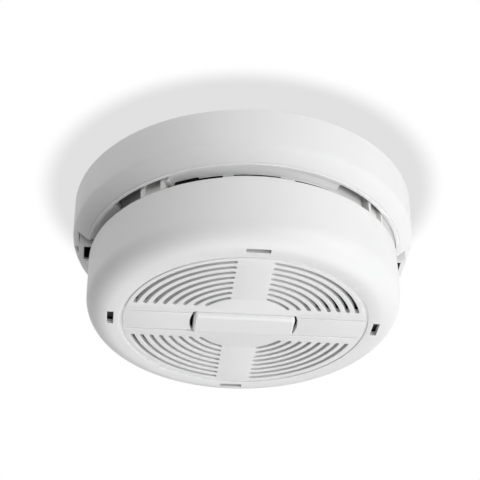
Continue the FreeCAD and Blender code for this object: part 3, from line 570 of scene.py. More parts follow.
    def _brushed_lines(self) -> Tree:
        """Long fine lines along one direction, for drawn and rolled metal.

        Returns:
            The group.
        """
        sockets = {"Scale": 900.0, "Stretch": 0.06}
        group, inputs, outputs = self._start(Effect.BRUSHED_LINES, sockets, ("Height",))
        where = self._place(group)
        split = group.nodes.new("ShaderNodeSeparateXYZ")
        join = group.nodes.new("ShaderNodeCombineXYZ")
        group.links.new(where, split.inputs[0])
        for axis in ("Y", "Z"):
            group.links.new(split.outputs[axis], join.inputs[axis])
        stretched = calculate(group, "MULTIPLY", split.outputs["X"], inputs.outputs["Stretch"])
        group.links.new(stretched, join.inputs["X"])
        lines = self._noise(group, join.outputs[0], inputs.outputs["Scale"], detail=4.0)
        group.links.new(lines, outputs.inputs["Height"])
        return group


GROUPS = EffectGroups()


# ---- finishes ----
class Recipe:
    """A material's node tree with short calls for adding nodes."""

    def __init__(self, name: str) -> None:
        """Starts a material with a Principled BSDF.

        Args:
            name: The material's name.
        """
        self.material = bpy.data.materials.new(name)
        self.material.use_nodes = True
        self.tree = self.material.node_tree
        self.shader = self.tree.nodes["Principled BSDF"]

    def effect(self, effect: Effect, **values: float) -> bpy.types.Node:
        """Places a shared effect with its own values.

        Args:
            effect: Which effect.
            values: Values for its inputs.

        Returns:
            The group's node.
        """
        node = self.tree.nodes.new("ShaderNodeGroup")
        node.node_tree = GROUPS.groups[effect]
        for name, value in values.items():
            node.inputs[name].default_value = value
        return node

    def blend(self, mask: Socket, first: Socket | Colour, second: Socket | Colour) -> Socket:
        """Mixes two colours or colour sockets by a mask.

        Args:
            mask: The mask.
            first: The colour where the mask is 0.
            second: The colour where the mask is 1.

        Returns:
            The mixed colour.
        """
        node = self.tree.nodes.new("ShaderNodeMix")
        node.data_type = "RGBA"
        self.tree.links.new(mask, node.inputs["Factor"])
        for name, value in (("A", first), ("B", second)):
            socket = [s for s in node.inputs if s.name == name and s.type == "RGBA"][0]
            if isinstance(value, tuple):
                socket.default_value = (*value, 1.0)
            else:
                self.tree.links.new(value, socket)
        return [s for s in node.outputs if s.type == "RGBA"][0]

    def spread(self, value: Socket, low: float, high: float) -> Socket:
        """Maps 0 to 1 onto a range.

        Args:
            value: The value.
            low: What 0 becomes.
            high: What 1 becomes.

        Returns:
            The mapped value.
        """
        node = self.tree.nodes.new("ShaderNodeMapRange")
        node.inputs["To Min"].default_value = low
        node.inputs["To Max"].default_value = high
        self.tree.links.new(value, node.inputs["Value"])
        return node.outputs["Result"]

    def texture(self, kind: str, scale: Sequence[float] = (1.0, 1.0, 1.0),
                **values: float) -> bpy.types.Node:
        """Adds a texture node over object coordinates with a scale per axis.

        Args:
            kind: The node's type.
            scale: Scale along each axis.
            values: Values for its inputs.

        Returns:
            The texture's node.
        """
        where = self.tree.nodes.new("ShaderNodeTexCoord")
        mapping = self.tree.nodes.new("ShaderNodeMapping")
        mapping.inputs["Scale"].default_value = scale
        node = self.tree.nodes.new(kind)
        self.tree.links.new(where.outputs["Object"], mapping.inputs["Vector"])
        self.tree.links.new(mapping.outputs["Vector"], node.inputs["Vector"])
        for name, value in values.items():
            node.inputs[name].default_value = value
        return node

    def rough(self, value: Socket, middle: float, span: tuple[float, float]) -> None:
        """Feeds the roughness: a value of 0 to 1 mapped onto a span about the middle."""
        self.feed("Roughness", self.spread(value, middle + span[0], middle + span[1]))

    def bump(self, height: Socket, distance: float, strength: float = 1.0,
             under: Optional[Socket] = None) -> Socket:
        """Adds a bump node.

        Args:
            height: The height map.
            distance: Its depth in millimetres.
            strength: Its strength.
            under: A normal that it adds to.

        Returns:
            The bumped normal.
        """
        node = self.tree.nodes.new("ShaderNodeBump")
        node.inputs["Distance"].default_value = distance * MM
        node.inputs["Strength"].default_value = strength
        self.tree.links.new(height, node.inputs["Height"])
        if under is not None:
            self.tree.links.new(under, node.inputs["Normal"])
        return node.outputs["Normal"]

    def feed(self, socket: str, source: Source) -> None:
        """Links or sets one input of the shader.

        Args:
            socket: The input's name.
            source: A socket or a number.
        """
        if isinstance(source, Socket):
            self.tree.links.new(source, self.shader.inputs[socket])
        else:
            self.shader.inputs[socket].default_value = source


def toned(colour: Colour, factor: float, lift: float = 0.0) -> Colour:
    """A colour times a factor, plus a lift, at most 1."""
    return tuple(min(1.0, c * factor + lift) for c in colour)


class Finish(Protocol):
    """What every finish offers."""

    name: str

    def made(self) -> bpy.types.Material:
        """Builds the material."""


@dataclass(frozen=True)
class MouldedPlastic:
    """Satin moulded plastic: grain, slow tone clouds, rubbed edges and a little dust."""

    name: str
    colour: Colour
    rubbed: Colour = (0.93, 0.93, 0.93)
    dust: Colour = (0.55, 0.53, 0.50)
    roughness: float = 0.42
    grain: float = 2600.0
    depth: float = 0.012
    wear: float = 0.35
    dusty: float = 0.12
    specular: float = 0.45
    cloud_tone: float = 0.972
    gloss: tuple[float, float] = (-0.03, 0.05)

    def made(self) -> bpy.types.Material:
        """Builds the material.

        Returns:
            The material.
        """
        recipe = Recipe(self.name)
        grain = recipe.effect(Effect.MOULD_GRAIN, Scale=self.grain)
        wear = recipe.effect(Effect.EDGE_WEAR, Amount=self.wear)
        dust = recipe.effect(Effect.SETTLED_DUST, Amount=self.dusty)
        cloud = grain.outputs["Cloud"]
        colour = recipe.blend(cloud, self.colour, toned(self.colour, self.cloud_tone))
        colour = recipe.blend(wear.outputs["Mask"], colour, self.rubbed)
        colour = recipe.blend(dust.outputs["Mask"], colour, self.dust)
        recipe.feed("Base Color", colour)
        recipe.rough(cloud, self.roughness, self.gloss)
        recipe.feed("Normal", recipe.bump(grain.outputs["Height"], self.depth))
        recipe.feed("Specular IOR Level", self.specular)
        return recipe.material


@dataclass(frozen=True)
class WorkedMetal:
    """Drawn, rolled or plated metal with fine lines and dull patches."""

    name: str
    colour: Colour
    dull: Colour
    roughness: float = 0.3
    lines: float = 900.0
    depth: float = 0.01
    wear: float = 0.6
    bright: float = 1.12
    gloss: tuple[float, float] = (-0.06, 0.1)

    def made(self) -> bpy.types.Material:
        """Builds the material.

        Returns:
            The material.
        """
        recipe = Recipe(self.name)
        lines = recipe.effect(Effect.BRUSHED_LINES, Scale=self.lines)
        grain = recipe.effect(Effect.MOULD_GRAIN, Scale=self.lines)
        wear = recipe.effect(Effect.EDGE_WEAR, Amount=self.wear)
        colour = recipe.blend(grain.outputs["Cloud"], self.colour, self.dull)
        colour = recipe.blend(wear.outputs["Mask"], colour, toned(self.colour, self.bright))
        recipe.feed("Base Color", colour)
        recipe.feed("Metallic", 1.0)
        recipe.rough(grain.outputs["Cloud"], self.roughness, self.gloss)
        recipe.feed("Normal", recipe.bump(lines.outputs["Height"], self.depth))
        return recipe.material


@dataclass(frozen=True)
class BoardLaminate:
    """Green lacquered laminate with copper tracks under the lacquer and a faint weave."""

    name: str = "board_laminate"
    lacquer: Colour = (0.035, 0.16, 0.07)
    track: Colour = (0.07, 0.27, 0.11)
    edge: Colour = (0.45, 0.42, 0.22)
    tracks: tuple = (("Scale", 160.0), ("Mortar Size", 0.03), ("Brick Width", 0.9),
                     ("Row Height", 0.35))
    weave_scale: float = 900.0
    weave_stretch: tuple[float, float, float] = (1.0, 1.0, 0.2)
    weave_bend: float = 0.4
    weave_depth: float = 0.01
    weave_strength: float = 0.5
    track_depth: float = 0.03
    track_strength: float = 0.6
    wear: float = 0.8
    gloss: tuple[float, float] = (0.22, 0.34)

    def made(self) -> bpy.types.Material:
        """Builds the material.

        Returns:
            The material.
        """
        recipe = Recipe(self.name)
        tracks = recipe.texture("ShaderNodeTexBrick", **dict(self.tracks))
        weave = recipe.texture("ShaderNodeTexWave", self.weave_stretch, Scale=self.weave_scale,
                               Distortion=self.weave_bend)
        wear = recipe.effect(Effect.EDGE_WEAR, Amount=self.wear)
        colour = recipe.blend(tracks.outputs["Fac"], self.track, self.lacquer)
        recipe.feed("Base Color", recipe.blend(wear.outputs["Mask"], colour, self.edge))
        recipe.feed("Roughness", recipe.spread(weave.outputs["Fac"], *self.gloss))
        under = recipe.bump(weave.outputs["Fac"], self.weave_depth, self.weave_strength)
        recipe.feed("Normal", recipe.bump(tracks.outputs["Fac"], self.track_depth,
                                          self.track_strength, under))
        return recipe.material


@dataclass(frozen=True)
class Laminations:
    """Stack of varnished steel sheets, seen as fine stripes across the stack."""

    name: str = "core_steel"
    steel: Colour = (0.30, 0.31, 0.33)
    varnish: Colour = (0.10, 0.085, 0.07)
    pitch: float = 0.35
    wave: float = 0.5 / 6.283    # wave scale times the pitch
    bend: float = 0.3
    grain: float = 1800.0
    metallic: float = 0.75
    gloss: tuple[float, float] = (0.32, 0.5)
    depth: float = 0.04

    def made(self) -> bpy.types.Material:
        """Builds the material.

        Returns:
            The material.
        """
        recipe = Recipe(self.name)
        stripes = recipe.texture("ShaderNodeTexWave", Scale=self.wave / (self.pitch * MM),
                                 Distortion=self.bend)
        stripes.bands_direction = "Y"
        grain = recipe.effect(Effect.MOULD_GRAIN, Scale=self.grain)
        colour = recipe.blend(stripes.outputs["Fac"], self.varnish, self.steel)
        recipe.feed("Base Color", recipe.blend(grain.outputs["Cloud"], colour, self.varnish))
        recipe.feed("Metallic", self.metallic)
        recipe.feed("Roughness", recipe.spread(grain.outputs["Height"], *self.gloss))
        recipe.feed("Normal", recipe.bump(stripes.outputs["Fac"], self.depth))
        return recipe.material


@dataclass(frozen=True)
class WrappedTape:
    """Overlapping turns of tape with a slight sheen."""

    name: str = "winding_tape"
    tape: Colour = (0.62, 0.42, 0.06)
    lap: Colour = (0.42, 0.27, 0.03)
    laps: float = 32.0
    bend: float = 0.8
    grain: float = 1500.0
    gloss: tuple[float, float] = (0.28, 0.45)
    depth: float = 0.06
    coat: float = 0.25

    def made(self) -> bpy.types.Material:
        """Builds the material.

        Returns:
            The material.
        """
        recipe = Recipe(self.name)
        laps = recipe.texture("ShaderNodeTexWave", Scale=self.laps, Distortion=self.bend)
        laps.bands_direction = "Z"
        laps.wave_profile = "SAW"
        grain = recipe.effect(Effect.MOULD_GRAIN, Scale=self.grain)
        recipe.feed("Base Color", recipe.blend(laps.outputs["Fac"], self.lap, self.tape))
        recipe.feed("Roughness", recipe.spread(grain.outputs["Cloud"], *self.gloss))
        recipe.feed("Normal", recipe.bump(laps.outputs["Fac"], self.depth))
        recipe.feed("Coat Weight", self.coat)
        return recipe.material


@dataclass(frozen=True)
class StripedSkin:
    """Gloss skin with one plain band, for a sleeve, a lacquered part or a battery jacket."""

    name: str
    colour: Colour
    band: Colour
    low: float
    high: float
    axis: str = "X"
    roughness: float = 0.25
    metallic: float = 0.0
    gloss: tuple[float, float] = (0.0, 0.12)
    wear: float = 0.5
    rubbed: tuple[float, float] = (1.5, 0.05)
    grain: float = 1600.0
    depth: float = 0.006
    coat: float = 0.3

    def made(self) -> bpy.types.Material:
        """Builds the material.

        Returns:
            The material.
        """
        recipe = Recipe(self.name)
        tree = recipe.tree
        split = tree.nodes.new("ShaderNodeSeparateXYZ")
        tree.links.new(tree.nodes.new("ShaderNodeTexCoord").outputs["Object"], split.inputs[0])
        along = split.outputs[self.axis]
        mask = calculate(tree, "MULTIPLY", calculate(tree, "GREATER_THAN", along, self.low * MM),
                         calculate(tree, "LESS_THAN", along, self.high * MM))
        grain = recipe.effect(Effect.MOULD_GRAIN, Scale=self.grain)
        wear = recipe.effect(Effect.EDGE_WEAR, Amount=self.wear)
        colour = recipe.blend(mask, self.colour, self.band)
        colour = recipe.blend(wear.outputs["Mask"], colour, toned(self.colour, *self.rubbed))
        recipe.feed("Base Color", colour)
        recipe.rough(grain.outputs["Cloud"], self.roughness, self.gloss)
        recipe.feed("Metallic", self.metallic)
        recipe.feed("Normal", recipe.bump(grain.outputs["Height"], self.depth))
        recipe.feed("Coat Weight", self.coat)
        return recipe.material


@dataclass(frozen=True)
class ClearBody:
    """Clear glass or resin with faint tone changes in its surface."""

    name: str
    tint: Colour
    roughness: float = 0.05
    clearness: float = 0.9
    grain: float = 900.0
    cloud_tone: float = 0.93
    gloss: tuple[float, float] = (0.0, 0.05)
    index: float = 1.5

    def made(self) -> bpy.types.Material:
        """Builds the material.

        Returns:
            The material.
        """
        recipe = Recipe(self.name)
        cloud = recipe.effect(Effect.MOULD_GRAIN, Scale=self.grain).outputs["Cloud"]
        recipe.feed("Base Color", recipe.blend(cloud, self.tint, toned(self.tint, self.cloud_tone)))
        recipe.rough(cloud, self.roughness, self.gloss)
        recipe.feed("Metallic", 0.0)
        recipe.feed("Transmission Weight", self.clearness)
        recipe.feed("IOR", self.index)
        return recipe.material


@dataclass(frozen=True)
class WovenGauze:
    """Fine dark gauze, with the crossing threads as bump and tone."""

    name: str = "screen_gauze"
    thread: Colour = (0.028, 0.028, 0.030)
    gap: Colour = (0.006, 0.006, 0.007)
    pitch: float = 0.9
    wave: float = 0.5 / math.pi    # wave scale times the pitch
    bend: float = 0.1
    gloss: tuple[float, float] = (0.9, 0.6)
    depth: float = 0.12

    def made(self) -> bpy.types.Material:
        """Builds the material.

        Returns:
            The material.
        """
        recipe = Recipe(self.name)
        waves = []
        for direction in ("X", "Y"):
            wave = recipe.texture("ShaderNodeTexWave", Scale=self.wave / (self.pitch * MM),
                                  Distortion=self.bend)
            wave.bands_direction = direction
            waves.append(wave.outputs["Fac"])
        weave = calculate(recipe.tree, "MAXIMUM", *waves)
        recipe.feed("Base Color", recipe.blend(weave, self.gap, self.thread))
        recipe.feed("Roughness", recipe.spread(weave, *self.gloss))
        recipe.feed("Normal", recipe.bump(weave, self.depth))
        return recipe.material


SCREEN_GAUZE = WovenGauze()
# near-black colour for pieces that stand in for shade: painted shade in the neck's gap and vents
PAINTED_SHADE_BLACK = MouldedPlastic("seal_foam", (0.012, 0.012, 0.013), (0.04, 0.04, 0.04), roughness=0.95,
                           grain=1400.0, depth=0.08, wear=0.2, dusty=0.02, specular=0.1)
# near-black lining colour: painted shade inside the lug slots
PAINTED_SHADE_LINING = MouldedPlastic("catch_steel", (0.045, 0.045, 0.047), (0.10, 0.10, 0.10),
                             roughness=0.6, dusty=0.02, specular=0.2)
# the lip's colour is brighter than the base's white, a painted highlight; its lower roughness is
# the lip's real gloss
LIP_PAINTED_HIGHLIGHT = MouldedPlastic("polished_lip", (0.95, 0.95, 0.952), roughness=0.3, depth=0.004,
                              dusty=0.0, specular=0.35)
# brighter white than the base: painted light that lifts the shaded channel ring
CHANNEL_PAINTED_LIGHT = MouldedPlastic("channel_white", (0.93, 0.93, 0.932), roughness=0.5, dusty=0.05,
                               specular=0.3)
PURE_WHITE = (1.0, 1.0, 1.0)
FINISHES: dict[str, Finish] = {finish.name: finish for finish in (
    MouldedPlastic("white_shell", (0.80, 0.80, 0.802)),
    MouldedPlastic("white_base", (0.795, 0.795, 0.797), roughness=0.52, wear=0.0, dusty=0.18,
                   specular=0.3),
    MouldedPlastic("white_button", (0.81, 0.81, 0.812), wear=0.5),
    MouldedPlastic("chassis_plastic", (0.77, 0.77, 0.75), roughness=0.5, grain=1900.0, dusty=0.2),
    MouldedPlastic("terminal_plastic", (0.60, 0.60, 0.55), roughness=0.3, depth=0.006),
    MouldedPlastic("clamp_plastic", (0.63, 0.63, 0.60), roughness=0.5, grain=1700.0),
    WorkedMetal("zinc_screw", (0.66, 0.67, 0.69), (0.50, 0.51, 0.53)),
    WorkedMetal("terminal_brass", (0.80, 0.61, 0.28), (0.58, 0.42, 0.18), roughness=0.28),
    MouldedPlastic("carrier_plastic", (0.03, 0.03, 0.033), (0.09, 0.09, 0.09), roughness=0.45),
    BoardLaminate(),
    MouldedPlastic("chamber_plastic", (0.70, 0.68, 0.62), roughness=0.5),
    WorkedMetal("source_metal", (0.74, 0.74, 0.75), (0.60, 0.60, 0.61), roughness=0.25,
                lines=1500.0),
    WorkedMetal("collector_steel", (0.62, 0.62, 0.64), (0.48, 0.48, 0.50)),
    WorkedMetal("can_steel", (0.68, 0.69, 0.71), (0.52, 0.53, 0.55), roughness=0.34, lines=600.0),
    MouldedPlastic("horn_plastic", (0.02, 0.02, 0.022), (0.07, 0.07, 0.07), roughness=0.4),
    WorkedMetal("diaphragm_brass", (0.83, 0.66, 0.32), (0.66, 0.50, 0.22), roughness=0.22),
    Laminations(),
    WrappedTape(),
    StripedSkin("capacitor_box", (0.42, 0.03, 0.02), (0.50, 0.06, 0.04), -50.0, -24.0),
    StripedSkin("capacitor_sleeve", (0.02, 0.025, 0.07), (0.55, 0.57, 0.60), 16.0, 18.6, "Y"),
    StripedSkin("varistor_lacquer", (0.03, 0.09, 0.32), (0.04, 0.12, 0.38), -45.0, -39.5, "Z"),
    MouldedPlastic("chip_epoxy", (0.02, 0.02, 0.02), (0.35, 0.35, 0.36), roughness=0.55, wear=0.6),
    MouldedPlastic("spacer_plastic", (0.03, 0.03, 0.03), (0.10, 0.10, 0.10), roughness=0.5),
    ClearBody("led_lens", (0.62, 0.86, 0.62), 0.08, 0.75),
    ClearBody("fuse_glass", (0.90, 0.94, 0.94)),
    WorkedMetal("clip_steel", (0.70, 0.70, 0.71), (0.56, 0.56, 0.57), roughness=0.26),
    MouldedPlastic("switch_plastic", (0.025, 0.025, 0.028), (0.09, 0.09, 0.09), roughness=0.42),
    MouldedPlastic("plunger_plastic", (0.72, 0.72, 0.69), roughness=0.4),
    StripedSkin("battery_case", (0.05, 0.055, 0.065), (0.62, 0.42, 0.10), 10.0, 30.0,
                roughness=0.28, metallic=0.4),
    WorkedMetal("terminal_nickel", (0.72, 0.71, 0.68), (0.58, 0.57, 0.54), roughness=0.2),
    MouldedPlastic("connector_plastic", (0.018, 0.018, 0.018), (0.06, 0.06, 0.06), roughness=0.5),
    WorkedMetal("spring_steel", (0.60, 0.61, 0.63), (0.45, 0.46, 0.48), roughness=0.25,
                lines=2000.0),
)}


class Paintbox:
    """Makes each finish once and puts it on pieces."""

    def __init__(self) -> None:
        """Starts with no material made."""
        self.made: dict[str, bpy.types.Material] = {}

    def material(self, slot: str) -> bpy.types.Material:
        """The material of a slot, made at its first use.

        Args:
            slot: The slot's name.

        Returns:
            The material.
        """
        if slot not in self.made:
            self.made[slot] = FINISHES[slot].made()
        return self.made[slot]

    def special(self, finish: Finish) -> bpy.types.Material:
        """The material of a finish that no record slot has, made at its first use.

        Args:
            finish: The finish.

        Returns:
            The material.
        """
        if finish.name not in self.made:
            self.made[finish.name] = finish.made()
        return self.made[finish.name]

    def line(self, piece: bpy.types.Object, finish: Finish) -> None:
        """Gives a piece a special finish."""
        piece.data.materials.append(self.special(finish))

    def dress(self, piece: bpy.types.Object, slot: str) -> None:
        """Gives a piece one material.

        Args:
            piece: The piece.
            slot: The slot's name.
        """
        piece.data.materials.clear()
        piece.data.materials.append(self.material(slot))


PAINT = Paintbox()


# ---- the surface base ----
@dataclass
class SurfaceBase:
    """Skirt with shoulder and lip, two side notches, and the pierced ceiling plate."""

    radius: float = 75.0
    depth: float = 23.4
    wall: float = 2.6
    plate: float = 2.5
    shoulder_w: float = 6.2
    shoulder_h: float = 5.7
    shoulder_round: float = 4.0
    lip: float = 1.4
    edge: float = 0.6
    lip_edge: float = 0.2
    bead_out: float = 0.15
    bead_slope: float = 0.1
    bead_round: float = 0.08
    groove_w: float = 0.4
    groove_d: float = 0.25
    notch_half: float = 8.0
    slot_length: float = 12.0
    slot_half: float = 2.25
    span_x: float = 83.3
    span_y: float = 60.3
    cable_r: float = 10.0
    cable_x: float = -15.0
    boss_pitch: float = 52.0
    boss_r: float = 4.0
    boss_end: float = -12.0
    clamp_boss_r: float = 3.2
    clamp_boss_end: float = -5.0
    clamp_boss: Point = (-30.0, 8.8)
    pilot_r: float = 1.4
    pilot_round: float = 0.2
    root_round: float = 0.3
    rounding: float = 0.25
    columns: int = 132
    notch_columns: int = 10
    hole_sides: int = 64

    def skirt_outlines(self) -> tuple[Loop, Loop, float]:
        """Full outline of the skirt from the top's rim round to the plate's underside.

        Returns:
            The outer points down to the notch's height, the points below it and back up the
            inside, and the notch's height.
        """
        shoulder_z = self.shoulder_h - self.depth
        notch_z = shoulder_z + self.edge
        lip_r = self.radius - self.shoulder_w
        bore = lip_r - self.lip
        bead_r = lip_r + self.bead_out
        groove_r = bead_r + self.groove_w
        groove_z = -self.depth + (groove_r - lip_r) * (self.depth + shoulder_z) / self.shoulder_w
        inner = self.radius - self.wall
        outline = rounded_profile([
            (0.0, 0.0, 0.0),
            (self.radius, 0.0, self.edge),
            (self.radius, shoulder_z, self.shoulder_round),
            (groove_r, groove_z, self.bead_round),
            (bead_r + self.bead_slope, groove_z + self.groove_d, self.bead_round),
            (bead_r, -self.depth, self.lip_edge),
            (bore, -self.depth, self.lip_edge),
            (bore, self.lip - self.depth, self.edge),
            (inner, shoulder_z + self.wall / 2, self.shoulder_round / 2),
            (inner, -self.plate, 0.0),
        ])[1:]
        above, below = [], []
        for i, point in enumerate(outline):
            lower = point[1] < notch_z
            if lower and not below:
                above.append(self._between(outline[i - 1], point, notch_z))
            (below if below or lower else above).append(point)
        return above, below, notch_z

    @staticmethod
    def _between(first: Point, second: Point, z: float) -> Point:
        """Point on a span at a height."""
        share = (z - first[1]) / (second[1] - first[1])
        return first[0] + (second[0] - first[0]) * share, z

    def _column(self, shell: Shell, outline: Sequence[Point], share: float, side: int) -> list:
        """One column of the long skirt, between the planes of the two notches.

        Args:
            shell: The mesh under construction.
            outline: The (radius, height) points.
            share: How far along the half, from 0 to 1.
            side: 1 for the +Y half, -1 for the other.

        Returns:
            The column's vertices.
        """
        spots = []
        for r, z in outline:
            gap = math.asin(self.notch_half / r)
            angle = gap + (math.pi - 2 * gap) * share
            spots.append((r * math.cos(angle) * side, r * math.sin(angle) * side, z))
        return shell.spots(spots)

    def build(self) -> bpy.types.Object:
        """Builds and dresses the base.

        Returns:
            The base's shell.
        """
        shell = Shell("surface_base_shell")
        above, below, notch_z = self.skirt_outlines()
        inner = self.radius - self.wall
        full = above + below
        short = above + [(inner, notch_z), (inner, -self.plate)]
        tops, floors = [], []
        for side in (1, -1):
            columns = [self._column(shell, full, i / self.columns, side)
                       for i in range(self.columns + 1)]
            for first, second in zip(columns, columns[1:]):
                shell.bridge(first, second, closed=False)
            tops += [c[0] for c in columns[:-1]] + self._notch(shell, short, side, True)
            floors += [c[-1] for c in columns[:-1]] + self._notch(shell, short, side, False)
            for column in (columns[0], columns[-1]):
                self._notch_side(shell, column, len(above), inner, notch_z)
        self._plate(shell, tops, floors)
        piece = shell.made(Body.BASE)
        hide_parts("surface_base")
        PAINT.dress(piece, "white_base")
        self._paint_lip_highlight(piece)
        return piece

    def _paint_lip_highlight(self, piece: bpy.types.Object) -> None:
        """Gives the lip's level edge a painted highlight: a brighter colour than the grained
        shoulder, with a smoother finish.

        Args:
            piece: The base's shell.
        """
        # the lip's level faces take the brighter colour, a painted highlight
        piece.data.materials.append(PAINT.special(LIP_PAINTED_HIGHLIGHT))
        for face in piece.data.polygons:
            if face.center.z < (self.lip_edge - self.depth) * MM:
                face.material_index = 1

    def _notch(self, shell: Shell, outline: Sequence[Point], side: int, top: bool) -> list:
        """Skirt above a notch.

        Args:
            shell: The mesh.
            outline: The short outline above the notch.
            side: 1 for the notch that follows the +Y half, -1 for the other.
            top: True for the row at the ceiling, which also adds the faces.

        Returns:
            The top or the bottom row of vertices, without the one that the next half starts with.
        """
        columns = []
        for k in range(self.notch_columns + 1):
            spots = []
            for r, z in outline:
                gap = math.asin(self.notch_half / r)
                angle = math.pi - gap + 2 * gap * k / self.notch_columns
                spots.append((r * math.cos(angle) * side, r * math.sin(angle) * side, z))
            columns.append(shell.spots(spots))
        if top:
            for first, second in zip(columns, columns[1:]):
                shell.bridge(first, second, closed=False)
        return [c[0 if top else -1] for c in columns[:-1]]

    @staticmethod
    def _notch_side(shell: Shell, column: Sequence, start: int, inner: float,
                    notch_z: float) -> None:
        """Upright side of a notch, between the full outline and the short one.

        Args:
            shell: The mesh under construction.
            column: The full column beside the notch.
            start: Where the points below the notch's height start.
            inner: Radius of the skirt's inner side.
            notch_z: The notch's height.
        """
        y = column[0].co.y
        sign = 1.0 if column[0].co.x > 0 else -1.0
        reach = math.sqrt((inner * MM) ** 2 - y * y) * sign
        corner = shell.mesh.verts.new((reach, y, notch_z * MM))
        shell.mesh.faces.new([corner, *column[start - 1:-1]])

    def _plate(self, shell: Shell, tops: Sequence, floors: Sequence) -> None:
        """Ceiling plate with its slots, cable hole, bosses and pilot holes.

        Args:
            shell: The mesh under construction.
            tops: The rim's vertices at the ceiling.
            floors: The rim's vertices at the plate's underside.
        """
        holes = [circle(self.cable_r, self.hole_sides, (self.cable_x, 0.0))]
        for side in (-1, 1):
            for spot, along_x in (((side * self.span_x / 2, 0.0), True),
                                  ((0.0, side * self.span_y / 2), False)):
                holes.append(straight_slot(spot, self.slot_length, self.slot_half, along_x))
        upper, lower = [list(tops)], [list(floors)]
        for hole in holes:
            for rows, z in ((upper, 0.0), (lower, -self.plate)):
                rows.append(shell.rim(hole, z, self.rounding, -self.plate / 2, True)[0])
        for x, y in [polar(self.boss_pitch, 45 + 90 * i) for i in range(4)]:
            lower.append(self._boss(shell, (x, y), self.boss_r, self.boss_end))
        for side in (-1, 1):
            spot = (self.clamp_boss[0], side * self.clamp_boss[1])
            lower.append(self._boss(shell, spot, self.clamp_boss_r, self.clamp_boss_end))
        shell.fill(upper, True)
        shell.fill(lower, False)

    def _boss(self, shell: Shell, centre: Point, radius: float, end: float) -> list:
        """Round boss with a blind pilot hole.

        Args:
            shell: The mesh under construction.
            centre: The boss' place.
            radius: Its radius.
            end: Height of its lower end.

        Returns:
            The ring at its root.
        """
        root, mouth = self.root_round, self.pilot_round
        outline = [(radius + root, -self.plate), (radius, -self.plate - root),
                   (radius, end + self.rounding), (radius - self.rounding, end),
                   (self.pilot_r + mouth, end), (self.pilot_r, end + mouth),
                   (self.pilot_r, -self.plate)]
        rings = shell.turned(outline, PEG_COLUMNS, centre=centre)
        shell.fill([rings[-1]], False)
        return rings[0]


# ---- the ring between lip and neck ----
@dataclass
class ChannelRing:
    """Sloped ring that closes the channel between lip and neck, open where the hooks pass."""

    neck_r: float = 63.6
    gap: float = 0.05
    out_r: float = 67.2
    slope_r: float = 66.45
    foot_r: float = 64.0
    top: float = -20.9
    under: float = -22.7
    foot: float = -24.15
    soft: float = 0.15
    slope_step: float = 0.05
    slope_round: float = 0.3
    foot_step: float = 0.03
    foot_round: float = 0.2
    inner_round: float = 0.05
    round_step: float = 20.0
    spans: tuple = ((-32.8, 30.8), (56.0, 83.4), (96.6, 120.8))
    step: float = 1.0
    # a dark strip of painted shade at the neck's foot, raised where it closes the vents
    shade_strip_r: float = 63.95
    shade_strip_low: float = -25.75
    shade_strip_top: float = -25.35
    shade_strip_soft: float = 0.1
    shade_strip_columns: int = 720
    shade_strip_rises: tuple = ((-31.5, -22.0, -24.22), (-22.0, -13.0, -25.0), (-9.3, 8.0, -24.9))

    def _profile(self) -> Loop:
        """Closed (radius, height) outline.

        Returns:
            The outline.
        """
        inner = self.neck_r + self.gap
        return rounded_profile([
            (inner, self.top, self.soft),
            (self.out_r, self.top, self.soft),
            (self.out_r, self.under, self.soft),
            (self.slope_r, self.under - self.slope_step, self.slope_round),
            (self.foot_r, self.foot, self.foot_round),
            (inner, self.foot - self.foot_step, self.inner_round),
        ], self.round_step)

    def build(self) -> None:
        """Builds and dresses the ring's sectors in a brighter white, which is painted light, and
        the dark strip of painted shade at the neck's foot.
        """
        shell = Shell("channel_ring")
        profile = self._profile()
        for turn in (0.0, 180.0):
            for start, end in self.spans:
                steps = int((end - start) / self.step)
                shell.swept(profile, start + turn, end + turn, steps)
        # the ring gets the brighter white, painted light against the channel's shade
        PAINT.line(shell.made(Body.BASE), CHANNEL_PAINTED_LIGHT)
        self._shade_strip()

    def _shade_strip_height(self, azimuth: float) -> float:
        """Height of the shade strip's top at an azimuth, where it also rises to close the vents
        with painted shade.

        Args:
            azimuth: The azimuth.

        Returns:
            The height.
        """
        half_turn = (azimuth + 90.0) % 180.0 - 90.0
        for start, end, top in self.shade_strip_rises:
            if start <= half_turn < end:
                return top
        return self.shade_strip_top

    def _shade_strip(self) -> None:
        """Builds and dresses the dark strip of painted shade round the neck's foot."""
        shell = Shell("neck_foot_seal")
        inner, soft = self.neck_r + self.gap, self.shade_strip_soft
        columns = []
        for k in range(self.shade_strip_columns):
            azimuth = 360.0 * k / self.shade_strip_columns
            top = self._shade_strip_height(azimuth)
            profile = [(inner, self.shade_strip_low), (inner, top), (self.shade_strip_r - soft, top),
                       (self.shade_strip_r, top - soft), (self.shade_strip_r, self.shade_strip_low + soft),
                       (self.shade_strip_r - soft, self.shade_strip_low)]
            columns.append(shell.spots([(*polar(r, azimuth), z) for r, z in profile]))
        for first, second in zip(columns, columns[1:] + columns[:1]):
            shell.bridge(first, second)
        PAINT.line(shell.made(Body.BASE), PAINTED_SHADE_BLACK)
